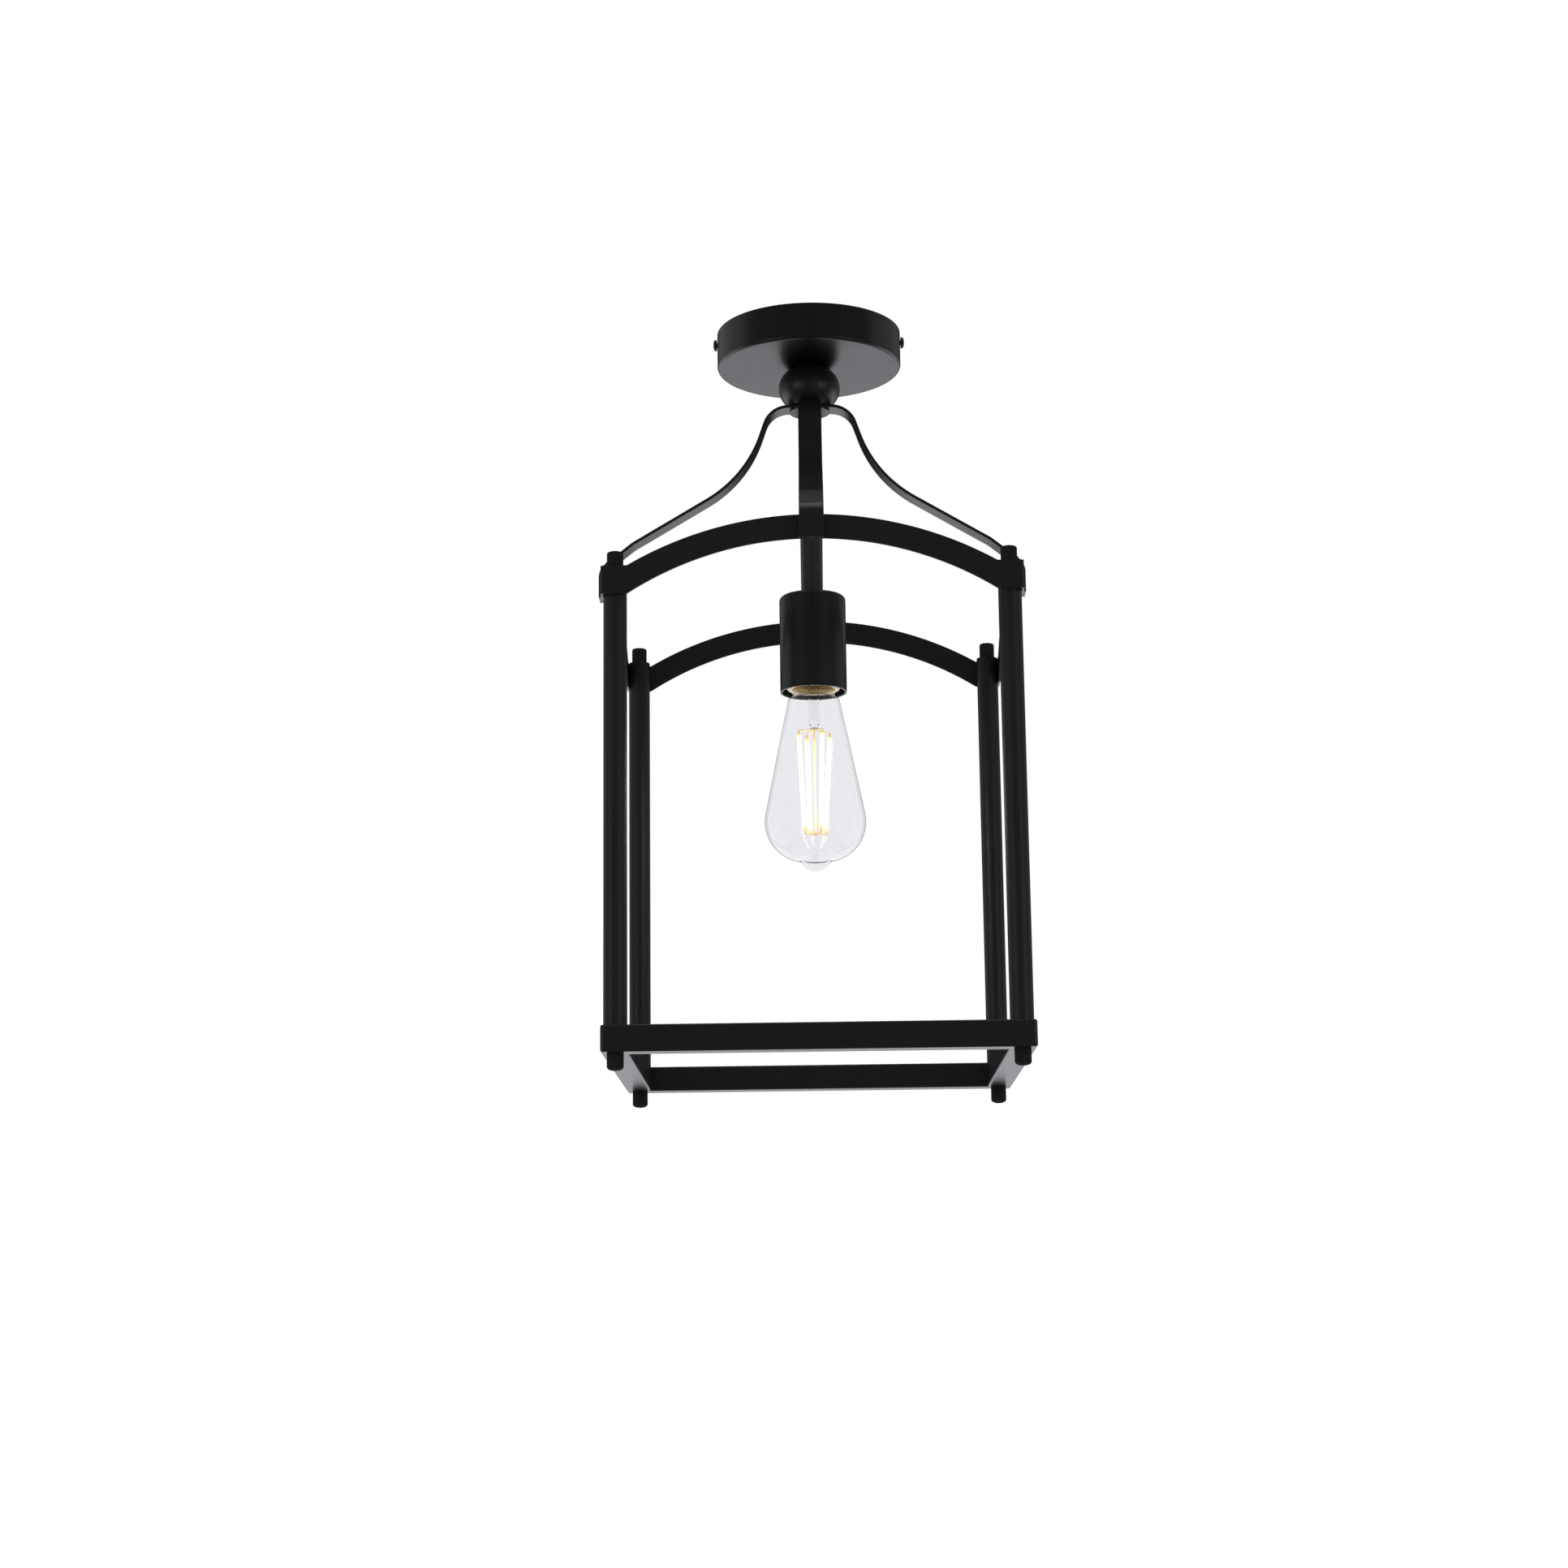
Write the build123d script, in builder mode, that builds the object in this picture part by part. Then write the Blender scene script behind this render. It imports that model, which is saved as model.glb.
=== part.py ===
from build123d import *
import os
from math import atan2, cos, degrees, radians, sin, sqrt

# Open lantern ceiling light in millimetres, +Z up.
# The origin is the middle of the ceiling face, and the front of the lantern looks towards -Y.

# Room between pieces
THREAD_ROOM = 0.1
RUNNING_ROOM = 0.05
MOVING_GAP = 0.3

# Canopy
CANOPY_D = 120.0
CANOPY_H = 23.7
CANOPY_WALL = 1.0
CANOPY_EDGE_R = 2.0

# Mounting crossbar, with slots for the screws of a ceiling box
CROSSBAR_W = 16.0
CROSSBAR_T = 2.0
CROSSBAR_BEND_R = 3.0
CROSSBAR_EAR_H = 12.0
BOX_SCREW_SPACING = 88.9
BOX_SLOT_W = 4.8
BOX_SLOT_L = 14.0

# Side screws through the canopy wall into the crossbar's ears
SIDE_SCREW_D = 4.0
SIDE_SCREW_L = 9.0
SIDE_SCREW_DEPTH = 6.0
SIDE_HEAD_D = 7.4
SIDE_HEAD_H = 2.4
SIDE_HEAD_EDGE_R = 1.2

# Ground screw under the crossbar
GROUND_SCREW_D = 4.0
GROUND_HEAD_D = 8.0
GROUND_HEAD_H = 2.0
GROUND_SCREW_X = 20.0

# Threaded tubes, locknuts and washers
NIPPLE_D = 9.8
NIPPLE_BORE = 6.6
NIPPLE_PAST_NUT = 2.0
NIPPLE_BITE = 12.0
LOCKNUT_FLATS = 14.0
LOCKNUT_H = 4.0
LOCK_WASHER_D = 16.0
LOCK_WASHER_T = 1.0

# Neck ball, cut off flat at both ends, and hub
BALL_D = 40.0
BALL_H = 26.3
BALL_CUT_OFF = 3.35
HUB_WASHER_D = 26.0
HUB_WASHER_T = 1.5

# Strap arms: corners of the upper face, out from the axis and down from the hub,
# then in from the tail and up from the arches
STRAP_W = 15.0
STRAP_T = 2.0
STRAP_EDGE_R = 0.5
STRAP_SHOULDER_R = 26.2
STRAP_WAIST_R = 42.7
STRAP_WAIST_DROP = 47.9
STRAP_KNEE_IN = 21.3
STRAP_KNEE_RISE = 19.0
STRAP_ELBOW_RISE = 1.8
STRAP_TAIL_PAST_ARCH = 2.2
STRAP_BENDS = (17.3, 79.6, 24.0, 12.0)

# Spacers and screws between the arches and the straps' tails
SPACER_D = 8.0
SPACER_L = 8.0
STRAP_SCREW_D = 4.0
STRAP_SCREW_DROP = 8.5
STRAP_SCREW_BITE = 6.0
STRAP_HEAD_D = 8.0
STRAP_HEAD_H = 2.6

# Stem
STEM_D = 13.6
STEM_L = 124.5

# Cage: arches and corner angles of one flat bar around the posts, square tubes under them
CAGE_W = 255.0
POST_D = 14.2
POST_WALL = 1.2
POST_L = 277.3
ANGLE_LEG = 16.0
CORNER_R = 2.0
EDGE_R = 1.4
ARCH_CROWN_DEPTH = 160.8
ARCH_R = 220.5
ARCH_H = 15.0
ARCH_T = 1.3
RAIL_W = 16.0
RAIL_H = 16.0
RAIL_WALL = 1.2

# Studs, plugs, set screws and round cap nuts at the cage's corners
STUD_D = 4.0
PLUG_L = 15.0
STUD_BITE_PLUG = 12.0
STUD_BITE_FINIAL = 7.0
FINIAL_D = 10.0
FINIAL_H = 10.3
FINIAL_EDGE_R = 1.2
SET_SCREW_D = 2.0
SET_SCREW_L = 4.0
SET_SCREW_DEPTH = 5.3
SET_SCREW_KEY = 0.9
SET_SCREW_KEY_DEPTH = 1.2

# Socket cup and lamp holder
CUP_D = 42.7
CUP_H = 63.3
CUP_WALL = 1.2
CUP_EDGE_R = 3.0
SOCKET_D = 34.0
SOCKET_H = 42.6
SOCKET_EDGE_R = 1.0
SOCKET_RECESS = 1.8
SOCKET_FLOOR_T = 9.0
SHELL_WALL = 0.5
SHELL_L = 25.0
SHELL_RECESS = 0.6
CONTACT_D = 9.0
CONTACT_T = 0.6
CONTACT_FOOT_D = 4.0
BRACKET_W = 14.0
BRACKET_T = 1.5
BRACKET_BEND_R = 2.0
BRACKET_HALF = 9.5
BRACKET_FOOT = 5.2
BRACKET_SCREW_D = 2.5
BRACKET_SCREW_L = 6.0
BRACKET_HEAD_D = 4.0
BRACKET_HEAD_H = 1.6
TERMINAL_X = 11.0
TERMINAL_SIZE = (6.0, 8.0, 2.5)
TERMINAL_HEAD_D = 6.0
TERMINAL_HEAD_H = 2.0

# Leads, ground lead and twist-on connectors
LEAD_D = 2.4
LEAD_X = 1.75
LEAD_BEND_R = 4.0
LEAD_TOP_DEPTH = 9.5
LEAD_RUN_OUT = 13.0
LEAD_RUN_DOWN = 20.0
LEAD_END = 29.0
GROUND_LEAD_D = 1.6
GROUND_LEAD_Y = 2.2
GROUND_LEAD_BEND_R = 3.0
GROUND_LEAD_BELOW_NIPPLE = 2.5
CONNECTOR_D = 10.4
CONNECTOR_TIP_D = 7.6
CONNECTOR_L = 20.0
CONNECTOR_BITE = 6.0

# Bulb cap: screw thread shown as its ridges
CAP_RECESS = 5.4
CAP_D = 26.1
CAP_PITCH = 3.629
CAP_RIDGES = 5
CAP_RIDGE_H = 0.7
CAP_WALL = 0.75
CAP_FIRST_RIDGE = 4.2
CAP_SKIRT_L = 22.0
CAP_SHOULDER_L = 1.6
CAP_SHOULDER_D = 19.0
INSULATOR_L = 1.9
INSULATOR_TIP_D = 10.0
TIP_D = 9.2
TIP_H = 1.5

# Bulb glass: neck, straight cone, round shoulder and drawn-off tip
BULB_D = 64.4
BULB_WIDEST_DEPTH = 84.4
BULB_SHOULDER_R = 25.2
BULB_NECK_R = 11.2
BULB_NECK_IN_CAP = 7.0
BULB_FLARE_DEPTH = 0.9
BULB_FLARE_R = 16.4
BULB_NECK_BENDS = (1.2, 1.8)
BULB_NUB_R = 10.3
BULB_NUB_BEND_R = 2.0
BULB_NUB_LEAN = 26.7
GLASS_T = 0.8

# Inside of the bulb
MOUNT_FLARE_R = 8.5
MOUNT_FLARE_H = 6.0
MOUNT_R = 3.7
MOUNT_TUBE_L = 31.0
MOUNT_TIP_R = 2.6
MOUNT_TIP_L = 4.2
FILAMENTS = 4
FILAMENT_TURN = 27.0
FILAMENT_D = 2.4
FILAMENT_L = 60.3
FILAMENT_TOP_R = 11.0
FILAMENT_FOOT_R = 7.5
FILAMENT_TOP_DEPTH = 29.0
CLIP_D = 1.6
CLIP_L = 3.0
WIRE_D = 0.8
ROD_D = 1.2
DRIVER_T = 1.6
DRIVER_RISE = 4.0
DRIVER_CHIP = (7.0, 5.0, 3.0)

# Heights, as z
canopy_under = -CANOPY_H
canopy_floor = canopy_under + CANOPY_WALL
hub_top = canopy_under - BALL_H
hub_under = hub_top - STRAP_T
stem_top = hub_under - HUB_WASHER_T
stem_foot = stem_top - STEM_L
cup_roof = stem_foot - CUP_WALL
cup_mouth = stem_foot - CUP_H
socket_mouth = cup_mouth + SOCKET_RECESS
socket_top = socket_mouth + SOCKET_H
socket_floor = socket_top - SOCKET_FLOOR_T
bracket_under = cup_roof - LOCKNUT_H - BRACKET_T
cup_nipple_foot = bracket_under - NIPPLE_PAST_NUT
canopy_nipple_top = canopy_floor + LOCK_WASHER_T + LOCKNUT_H + NIPPLE_PAST_NUT
cap_rim = cup_mouth + CAP_RECESS
cap_top = cap_rim + CAP_SKIRT_L + CAP_SHOULDER_L
insulator_top = cap_top + INSULATOR_L
tip_top = insulator_top + TIP_H

# Places in the cage
face_half = CAGE_W / 2
post_half = face_half - ARCH_T - RUNNING_ROOM - POST_D / 2
angle_inner = face_half - ANGLE_LEG
arch_crown = -ARCH_CROWN_DEPTH
arch_centre = arch_crown - ARCH_R
cage_top = arch_centre + sqrt(ARCH_R**2 - angle_inner**2)
angle_foot = arch_centre + sqrt((ARCH_R - ARCH_H) ** 2 - angle_inner**2)
post_foot = cage_top - POST_L
rail_foot = post_foot - RAIL_H
strap_screw_z = arch_crown - STRAP_SCREW_DROP
set_screw_z = cage_top - SET_SCREW_DEPTH

# Radii and reaches shared by mating pieces
nipple_hole_r = NIPPLE_D / 2 + THREAD_ROOM
stem_bore_r = nipple_hole_r
ear_reach = sqrt((CANOPY_D / 2 - CANOPY_WALL - MOVING_GAP) ** 2 - (CROSSBAR_W / 2) ** 2)
post_bore_r = POST_D / 2 - POST_WALL
stud_hole_r = STUD_D / 2 + THREAD_ROOM
shell_r = CAP_D / 2 + MOVING_GAP
shell_outer_r = shell_r + SHELL_WALL
cap_root_r = CAP_D / 2 - CAP_RIDGE_H
cap_bore_r = cap_root_r - CAP_WALL
lead_z = socket_top + LEAD_D / 2 + RUNNING_ROOM
connector_z = canopy_floor + CONNECTOR_D / 2 + RUNNING_ROOM
foot_mid = BRACKET_HALF + BRACKET_T + BRACKET_FOOT / 2

BOTTOM = (Align.CENTER, Align.CENTER, Align.MIN)
TOP = (Align.CENTER, Align.CENTER, Align.MAX)
SIDES = {"right": 0, "back": 90, "left": 180, "front": 270}
CORNERS = {
    "front_left": (-1, -1),
    "front_right": (1, -1),
    "back_left": (-1, 1),
    "back_right": (1, 1),
}
corner_points = [(x * post_half, y * post_half) for x, y in CORNERS.values()]


def save(piece, name):
    piece.part.label = name
    export_step(piece.part, f"parts/{name}.step")


def outward_plane(turn, reach, height):
    """Plane that faces away from the axis, with its own up along Z."""
    c, s = cos(radians(turn)), sin(radians(turn))
    return Plane(origin=(reach * c, reach * s, height), x_dir=(-s, c, 0), z_dir=(c, s, 0))


def radial_plane(turn):
    """Upright plane through the axis, with its own x pointing outward."""
    c, s = cos(radians(turn)), sin(radians(turn))
    return Plane(origin=(0, 0, 0), x_dir=(c, s, 0), z_dir=(s, -c, 0))


def along(start, end):
    """Plane at start that faces end."""
    return Plane(origin=start, z_dir=Vector(*end) - Vector(*start))


# Ceiling side


def make_mounting_crossbar():
    with BuildPart() as crossbar:
        with BuildSketch(Plane.XZ):
            with BuildLine():
                FilletPolyline(
                    (-ear_reach, -CROSSBAR_EAR_H),
                    (-ear_reach, 0),
                    (ear_reach, 0),
                    (ear_reach, -CROSSBAR_EAR_H),
                    radius=CROSSBAR_BEND_R,
                )
                offset(amount=CROSSBAR_T, side=Side.RIGHT)
            make_face()
        extrude(amount=CROSSBAR_W / 2, both=True)
        with BuildSketch(Plane.XY):
            with GridLocations(BOX_SCREW_SPACING, 1, 2, 1):
                SlotOverall(BOX_SLOT_L, BOX_SLOT_W)
            with Locations((GROUND_SCREW_X, GROUND_LEAD_Y)):
                Circle(GROUND_SCREW_D / 2 + THREAD_ROOM)
        extrude(amount=-CROSSBAR_T, mode=Mode.SUBTRACT)
        with Locations((0, 0, -SIDE_SCREW_DEPTH)):
            Cylinder(
                SIDE_SCREW_D / 2 + RUNNING_ROOM, CANOPY_D, rotation=(0, 90, 0), mode=Mode.SUBTRACT
            )
    save(crossbar, "mounting_crossbar")


def make_ground_screw():
    lead_room = GROUND_LEAD_D + 2 * RUNNING_ROOM
    with BuildPart() as screw:
        with Locations((GROUND_SCREW_X, GROUND_LEAD_Y, -CROSSBAR_T - lead_room)):
            Cylinder(GROUND_SCREW_D / 2, CROSSBAR_T + lead_room, align=BOTTOM)
            Cylinder(GROUND_HEAD_D / 2, GROUND_HEAD_H, align=TOP)
    save(screw, "ground_screw")


def make_canopy():
    with BuildPart() as canopy:
        with Locations((0, 0, canopy_under)):
            Cylinder(CANOPY_D / 2, CANOPY_H, align=BOTTOM)
        fillet(canopy.edges().group_by(Axis.Z)[0], CANOPY_EDGE_R)
        with Locations((0, 0, canopy_floor)):
            Cylinder(CANOPY_D / 2 - CANOPY_WALL, CANOPY_H, align=BOTTOM, mode=Mode.SUBTRACT)
        with Locations((0, 0, canopy_under)):
            Cylinder(nipple_hole_r, CANOPY_WALL, align=BOTTOM, mode=Mode.SUBTRACT)
        with Locations((0, 0, -SIDE_SCREW_DEPTH)):
            Cylinder(
                SIDE_SCREW_D / 2 + MOVING_GAP, CANOPY_D, rotation=(0, 90, 0), mode=Mode.SUBTRACT
            )
    save(canopy, "canopy")


def make_canopy_screw(side):
    with BuildPart() as screw:
        with BuildSketch(outward_plane(SIDES[side], CANOPY_D / 2 + MOVING_GAP, -SIDE_SCREW_DEPTH)):
            Circle(SIDE_HEAD_D / 2)
        extrude(amount=SIDE_HEAD_H)
        rim = screw.faces().sort_by(Axis.X)[0 if side == "left" else -1].edges()
        fillet(rim, SIDE_HEAD_EDGE_R)
        with BuildSketch(outward_plane(SIDES[side], CANOPY_D / 2 + MOVING_GAP, -SIDE_SCREW_DEPTH)):
            Circle(SIDE_SCREW_D / 2)
        extrude(amount=-SIDE_SCREW_L)
    save(screw, f"canopy_screw_{side}")


def make_threaded_tube(name, top, foot):
    with BuildPart() as nipple:
        with Locations((0, 0, foot)):
            Cylinder(NIPPLE_D / 2, top - foot, align=BOTTOM)
            Cylinder(NIPPLE_BORE / 2, top - foot, align=BOTTOM, mode=Mode.SUBTRACT)
    save(nipple, name)


def make_locknut(name, foot):
    with BuildPart() as nut:
        with BuildSketch(Plane.XY.offset(foot)):
            RegularPolygon(LOCKNUT_FLATS / 2, 6, major_radius=False)
            Circle(nipple_hole_r, mode=Mode.SUBTRACT)
        extrude(amount=LOCKNUT_H)
    save(nut, name)


def make_ring(name, outer_d, foot, height):
    with BuildPart() as ring:
        with BuildSketch(Plane.XY.offset(foot)):
            Circle(outer_d / 2)
            Circle(nipple_hole_r, mode=Mode.SUBTRACT)
        extrude(amount=height)
    save(ring, name)


# Neck, straps and stem


def make_neck_ball():
    with BuildPart() as ball:
        with BuildSketch(Plane.XZ):
            with Locations((0, hub_top + BALL_H / 2)):
                Ellipse(BALL_D / 2, BALL_H / 2 + BALL_CUT_OFF)
            with Locations((nipple_hole_r, hub_top)):
                Rectangle(BALL_D, BALL_H, align=(Align.MIN, Align.MIN), mode=Mode.INTERSECT)
        revolve(axis=Axis.Z)
    save(ball, "neck_ball")


def make_strap_arm(side):
    tail_r = face_half + SPACER_L + STRAP_T
    with BuildPart() as arm:
        with BuildSketch(radial_plane(SIDES[side])):
            with BuildLine():
                FilletPolyline(
                    (STRAP_W / 2 + MOVING_GAP, hub_top),
                    (STRAP_SHOULDER_R, hub_top),
                    (STRAP_WAIST_R, hub_top - STRAP_WAIST_DROP),
                    (tail_r - STRAP_KNEE_IN, arch_crown + STRAP_KNEE_RISE),
                    (tail_r, arch_crown + STRAP_ELBOW_RISE),
                    (tail_r, arch_crown - ARCH_H - STRAP_TAIL_PAST_ARCH),
                    radius=STRAP_BENDS,
                )
                offset(amount=STRAP_T, side=Side.RIGHT)
            make_face()
        extrude(amount=STRAP_W / 2, both=True)
        flanks = arm.faces().filter_by(radial_plane(SIDES[side]))
        fillet(flanks.edges(), STRAP_EDGE_R)
    save(arm, f"strap_arm_{side}")


def make_strap_spacers():
    with BuildPart() as spacers:
        for turn in SIDES.values():
            with BuildSketch(outward_plane(turn, face_half, strap_screw_z)):
                Circle(SPACER_D / 2)
            extrude(amount=SPACER_L)
            with BuildSketch(outward_plane(turn, face_half, strap_screw_z)):
                Circle(STRAP_SCREW_D / 2 + THREAD_ROOM)
            extrude(amount=STRAP_SCREW_BITE + THREAD_ROOM, mode=Mode.SUBTRACT)
    save(spacers, "strap_spacers")


def make_strap_screws():
    with BuildPart() as screws:
        for turn in SIDES.values():
            with BuildSketch(outward_plane(turn, face_half - ARCH_T, strap_screw_z)):
                Circle(STRAP_HEAD_D / 2)
            extrude(amount=-STRAP_HEAD_H)
            with BuildSketch(outward_plane(turn, face_half - ARCH_T, strap_screw_z)):
                Circle(STRAP_SCREW_D / 2)
            extrude(amount=ARCH_T + STRAP_SCREW_BITE)
    save(screws, "strap_screws")


def make_stem_tube():
    with BuildPart() as stem:
        with Locations((0, 0, stem_foot)):
            Cylinder(STEM_D / 2, STEM_L, align=BOTTOM)
            Cylinder(stem_bore_r, STEM_L, align=BOTTOM, mode=Mode.SUBTRACT)
    save(stem, "stem_tube")


# Cage


def make_arch(side):
    with BuildPart() as arch:
        with BuildSketch(outward_plane(SIDES[side], face_half, 0)):
            with BuildLine():
                upper = ThreePointArc(
                    (-angle_inner, cage_top), (0, arch_crown), (angle_inner, cage_top)
                )
                lower = ThreePointArc(
                    (-angle_inner, angle_foot), (0, arch_crown - ARCH_H), (angle_inner, angle_foot)
                )
                Line(upper @ 0, lower @ 0)
                Line(upper @ 1, lower @ 1)
            make_face()
            with Locations((0, strap_screw_z)):
                Circle(STRAP_SCREW_D / 2 + THREAD_ROOM, mode=Mode.SUBTRACT)
        extrude(amount=-ARCH_T)
    save(arch, f"arch_{side}")


def make_corner_angle(name, x, y):
    with BuildPart() as angle:
        with BuildSketch(Plane.XY.offset(angle_foot)):
            with BuildLine():
                FilletPolyline(
                    (x * angle_inner, y * face_half),
                    (x * face_half, y * face_half),
                    (x * face_half, y * angle_inner),
                    radius=CORNER_R,
                )
                offset(amount=ARCH_T, side=Side.RIGHT if x == y else Side.LEFT)
            make_face()
        extrude(amount=cage_top - angle_foot)
    save(angle, f"corner_angle_{name}")


def set_screw_plane(x, y):
    """Plane on the post's inner side that faces into the post."""
    reach = post_half - POST_D / 2
    return Plane(origin=(x * post_half, y * reach, set_screw_z), z_dir=(0, y, 0))


def make_corner_set_screws():
    with BuildPart() as screws:
        for x, y in CORNERS.values():
            with BuildSketch(set_screw_plane(x, y)):
                Circle(SET_SCREW_D / 2)
            extrude(amount=SET_SCREW_L)
            with BuildSketch(set_screw_plane(x, y)):
                RegularPolygon(SET_SCREW_KEY / 2, 6, major_radius=False)
            extrude(amount=SET_SCREW_KEY_DEPTH, mode=Mode.SUBTRACT)
    save(screws, "corner_set_screws")


def make_post(name, x, y):
    with BuildPart() as post:
        with Locations((x * post_half, y * post_half, post_foot)):
            Cylinder(POST_D / 2, POST_L, align=BOTTOM)
            Cylinder(post_bore_r, POST_L, align=BOTTOM, mode=Mode.SUBTRACT)
        with BuildSketch(set_screw_plane(x, y)):
            Circle(SET_SCREW_D / 2 + THREAD_ROOM)
        extrude(amount=SET_SCREW_L, mode=Mode.SUBTRACT)
    save(post, f"post_{name}")


def make_post_plugs():
    with BuildPart() as plugs:
        for foot in (cage_top - PLUG_L, post_foot):
            with BuildSketch(Plane.XY.offset(foot)):
                with Locations(*corner_points):
                    Circle(post_bore_r - RUNNING_ROOM)
                    Circle(stud_hole_r, mode=Mode.SUBTRACT)
            extrude(amount=PLUG_L)
        for x, y in CORNERS.values():
            with BuildSketch(set_screw_plane(x, y)):
                Circle(SET_SCREW_D / 2 + THREAD_ROOM)
            extrude(amount=SET_SCREW_L + THREAD_ROOM, mode=Mode.SUBTRACT)
    save(plugs, "post_plugs")


def make_cage_studs():
    top_foot = cage_top - STUD_BITE_PLUG
    low_foot = rail_foot - STUD_BITE_FINIAL
    with BuildPart() as studs:
        with BuildSketch(Plane.XY.offset(top_foot)):
            with Locations(*corner_points):
                Circle(STUD_D / 2)
        extrude(amount=cage_top + STUD_BITE_FINIAL - top_foot)
        with BuildSketch(Plane.XY.offset(low_foot)):
            with Locations(*corner_points):
                Circle(STUD_D / 2)
        extrude(amount=post_foot + STUD_BITE_PLUG - low_foot)
    save(studs, "cage_studs")


def make_finials(name, seat, way):
    with BuildPart() as finials:
        with BuildSketch(Plane.XY.offset(seat)):
            with Locations(*corner_points):
                Circle(FINIAL_D / 2)
        extrude(amount=way * FINIAL_H)
        ends = finials.faces().filter_by(Axis.Z).sort_by(Axis.Z, reverse=way > 0)
        fillet(ends[: len(corner_points)].edges(), FINIAL_EDGE_R)
        with BuildSketch(Plane.XY.offset(seat)):
            with Locations(*corner_points):
                Circle(stud_hole_r)
        extrude(amount=way * (STUD_BITE_FINIAL + THREAD_ROOM), mode=Mode.SUBTRACT)
    save(finials, name)


def make_bottom_rail(side):
    turn = SIDES[side]
    rail_inner = face_half - RAIL_W
    wedge = [
        (CAGE_W * cos(radians(turn + swing)), CAGE_W * sin(radians(turn + swing)))
        for swing in (-45, 45)
    ]
    with BuildPart() as rail:
        with BuildSketch(Plane.XY.offset(rail_foot)):
            RectangleRounded(CAGE_W, CAGE_W, CORNER_R)
            Rectangle(2 * rail_inner, 2 * rail_inner, mode=Mode.SUBTRACT)
            with BuildLine():
                Polyline((0, 0), *wedge, close=True)
            make_face(mode=Mode.INTERSECT)
        extrude(amount=RAIL_H)
        length_axis = Axis.Y if side in ("left", "right") else Axis.X
        level = rail.faces().filter_by(Axis.Z).edges()
        fillet(level.filter_by(length_axis) + level.filter_by(GeomType.CIRCLE), EDGE_R)
        with Locations(outward_plane(turn, face_half - RAIL_W / 2, rail_foot + RAIL_H / 2)):
            Box(
                CAGE_W,
                RAIL_H - 2 * RAIL_WALL,
                RAIL_W - 2 * RAIL_WALL,
                mode=Mode.SUBTRACT,
            )
        with BuildSketch(Plane.XY.offset(rail_foot)):
            with Locations(*corner_points):
                Circle(stud_hole_r)
        extrude(amount=RAIL_H, mode=Mode.SUBTRACT)
    save(rail, f"bottom_rail_{side}")


# Lamp holder


def make_socket_cup():
    with BuildPart() as cup:
        with Locations((0, 0, cup_mouth)):
            Cylinder(CUP_D / 2, CUP_H, align=BOTTOM)
        fillet(cup.edges().group_by(Axis.Z)[-1], CUP_EDGE_R)
        with Locations((0, 0, cup_mouth)):
            Cylinder(CUP_D / 2 - CUP_WALL, CUP_H - CUP_WALL, align=BOTTOM, mode=Mode.SUBTRACT)
            Cylinder(nipple_hole_r, CUP_H, align=BOTTOM, mode=Mode.SUBTRACT)
    save(cup, "socket_cup")


def make_socket_bracket():
    foot_end = BRACKET_HALF + BRACKET_T + BRACKET_FOOT
    with BuildPart() as bracket:
        with BuildSketch(Plane.YZ):
            with BuildLine():
                FilletPolyline(
                    (-foot_end, socket_top),
                    (-BRACKET_HALF, socket_top),
                    (-BRACKET_HALF, bracket_under),
                    (BRACKET_HALF, bracket_under),
                    (BRACKET_HALF, socket_top),
                    (foot_end, socket_top),
                    radius=BRACKET_BEND_R,
                )
                offset(amount=BRACKET_T, side=Side.LEFT)
            make_face()
        extrude(amount=BRACKET_W / 2, both=True)
        with Locations((0, 0, bracket_under)):
            Cylinder(nipple_hole_r, BRACKET_T, align=BOTTOM, mode=Mode.SUBTRACT)
        with Locations((0, foot_mid, socket_top), (0, -foot_mid, socket_top)):
            Cylinder(BRACKET_SCREW_D / 2 + THREAD_ROOM, BRACKET_T, align=BOTTOM, mode=Mode.SUBTRACT)
    save(bracket, "socket_bracket")


def make_bracket_screws():
    with BuildPart() as screws:
        with Locations((0, foot_mid, socket_top + BRACKET_T), (0, -foot_mid, socket_top + BRACKET_T)):
            Cylinder(BRACKET_HEAD_D / 2, BRACKET_HEAD_H, align=BOTTOM)
            Cylinder(BRACKET_SCREW_D / 2, BRACKET_SCREW_L, align=TOP)
    save(screws, "bracket_screws")


def make_socket_body():
    screw_depth = BRACKET_SCREW_L - BRACKET_T + THREAD_ROOM
    with BuildPart() as body:
        with Locations((0, 0, socket_mouth)):
            Cylinder(SOCKET_D / 2, SOCKET_H, align=BOTTOM)
        fillet(body.edges().filter_by(GeomType.CIRCLE), SOCKET_EDGE_R)
        with Locations((0, 0, socket_mouth)):
            Cylinder(
                shell_outer_r + THREAD_ROOM,
                SOCKET_H - SOCKET_FLOOR_T,
                align=BOTTOM,
                mode=Mode.SUBTRACT,
            )
        with Locations((0, foot_mid, socket_top), (0, -foot_mid, socket_top)):
            Cylinder(
                BRACKET_SCREW_D / 2 + THREAD_ROOM, screw_depth, align=TOP, mode=Mode.SUBTRACT
            )
    save(body, "socket_body")


def make_socket_shell():
    with BuildPart() as shell:
        with Locations((0, 0, socket_mouth + SHELL_RECESS)):
            Cylinder(shell_outer_r, SHELL_L, align=BOTTOM)
            Cylinder(shell_r, SHELL_L, align=BOTTOM, mode=Mode.SUBTRACT)
    save(shell, "socket_shell")


def make_socket_contact():
    plate = tip_top + MOVING_GAP
    with BuildPart() as contact:
        with Locations((0, 0, plate)):
            Cylinder(CONTACT_D / 2, CONTACT_T, align=BOTTOM)
            Cylinder(CONTACT_FOOT_D / 2, socket_floor - plate, align=BOTTOM)
    save(contact, "socket_contact")


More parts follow.
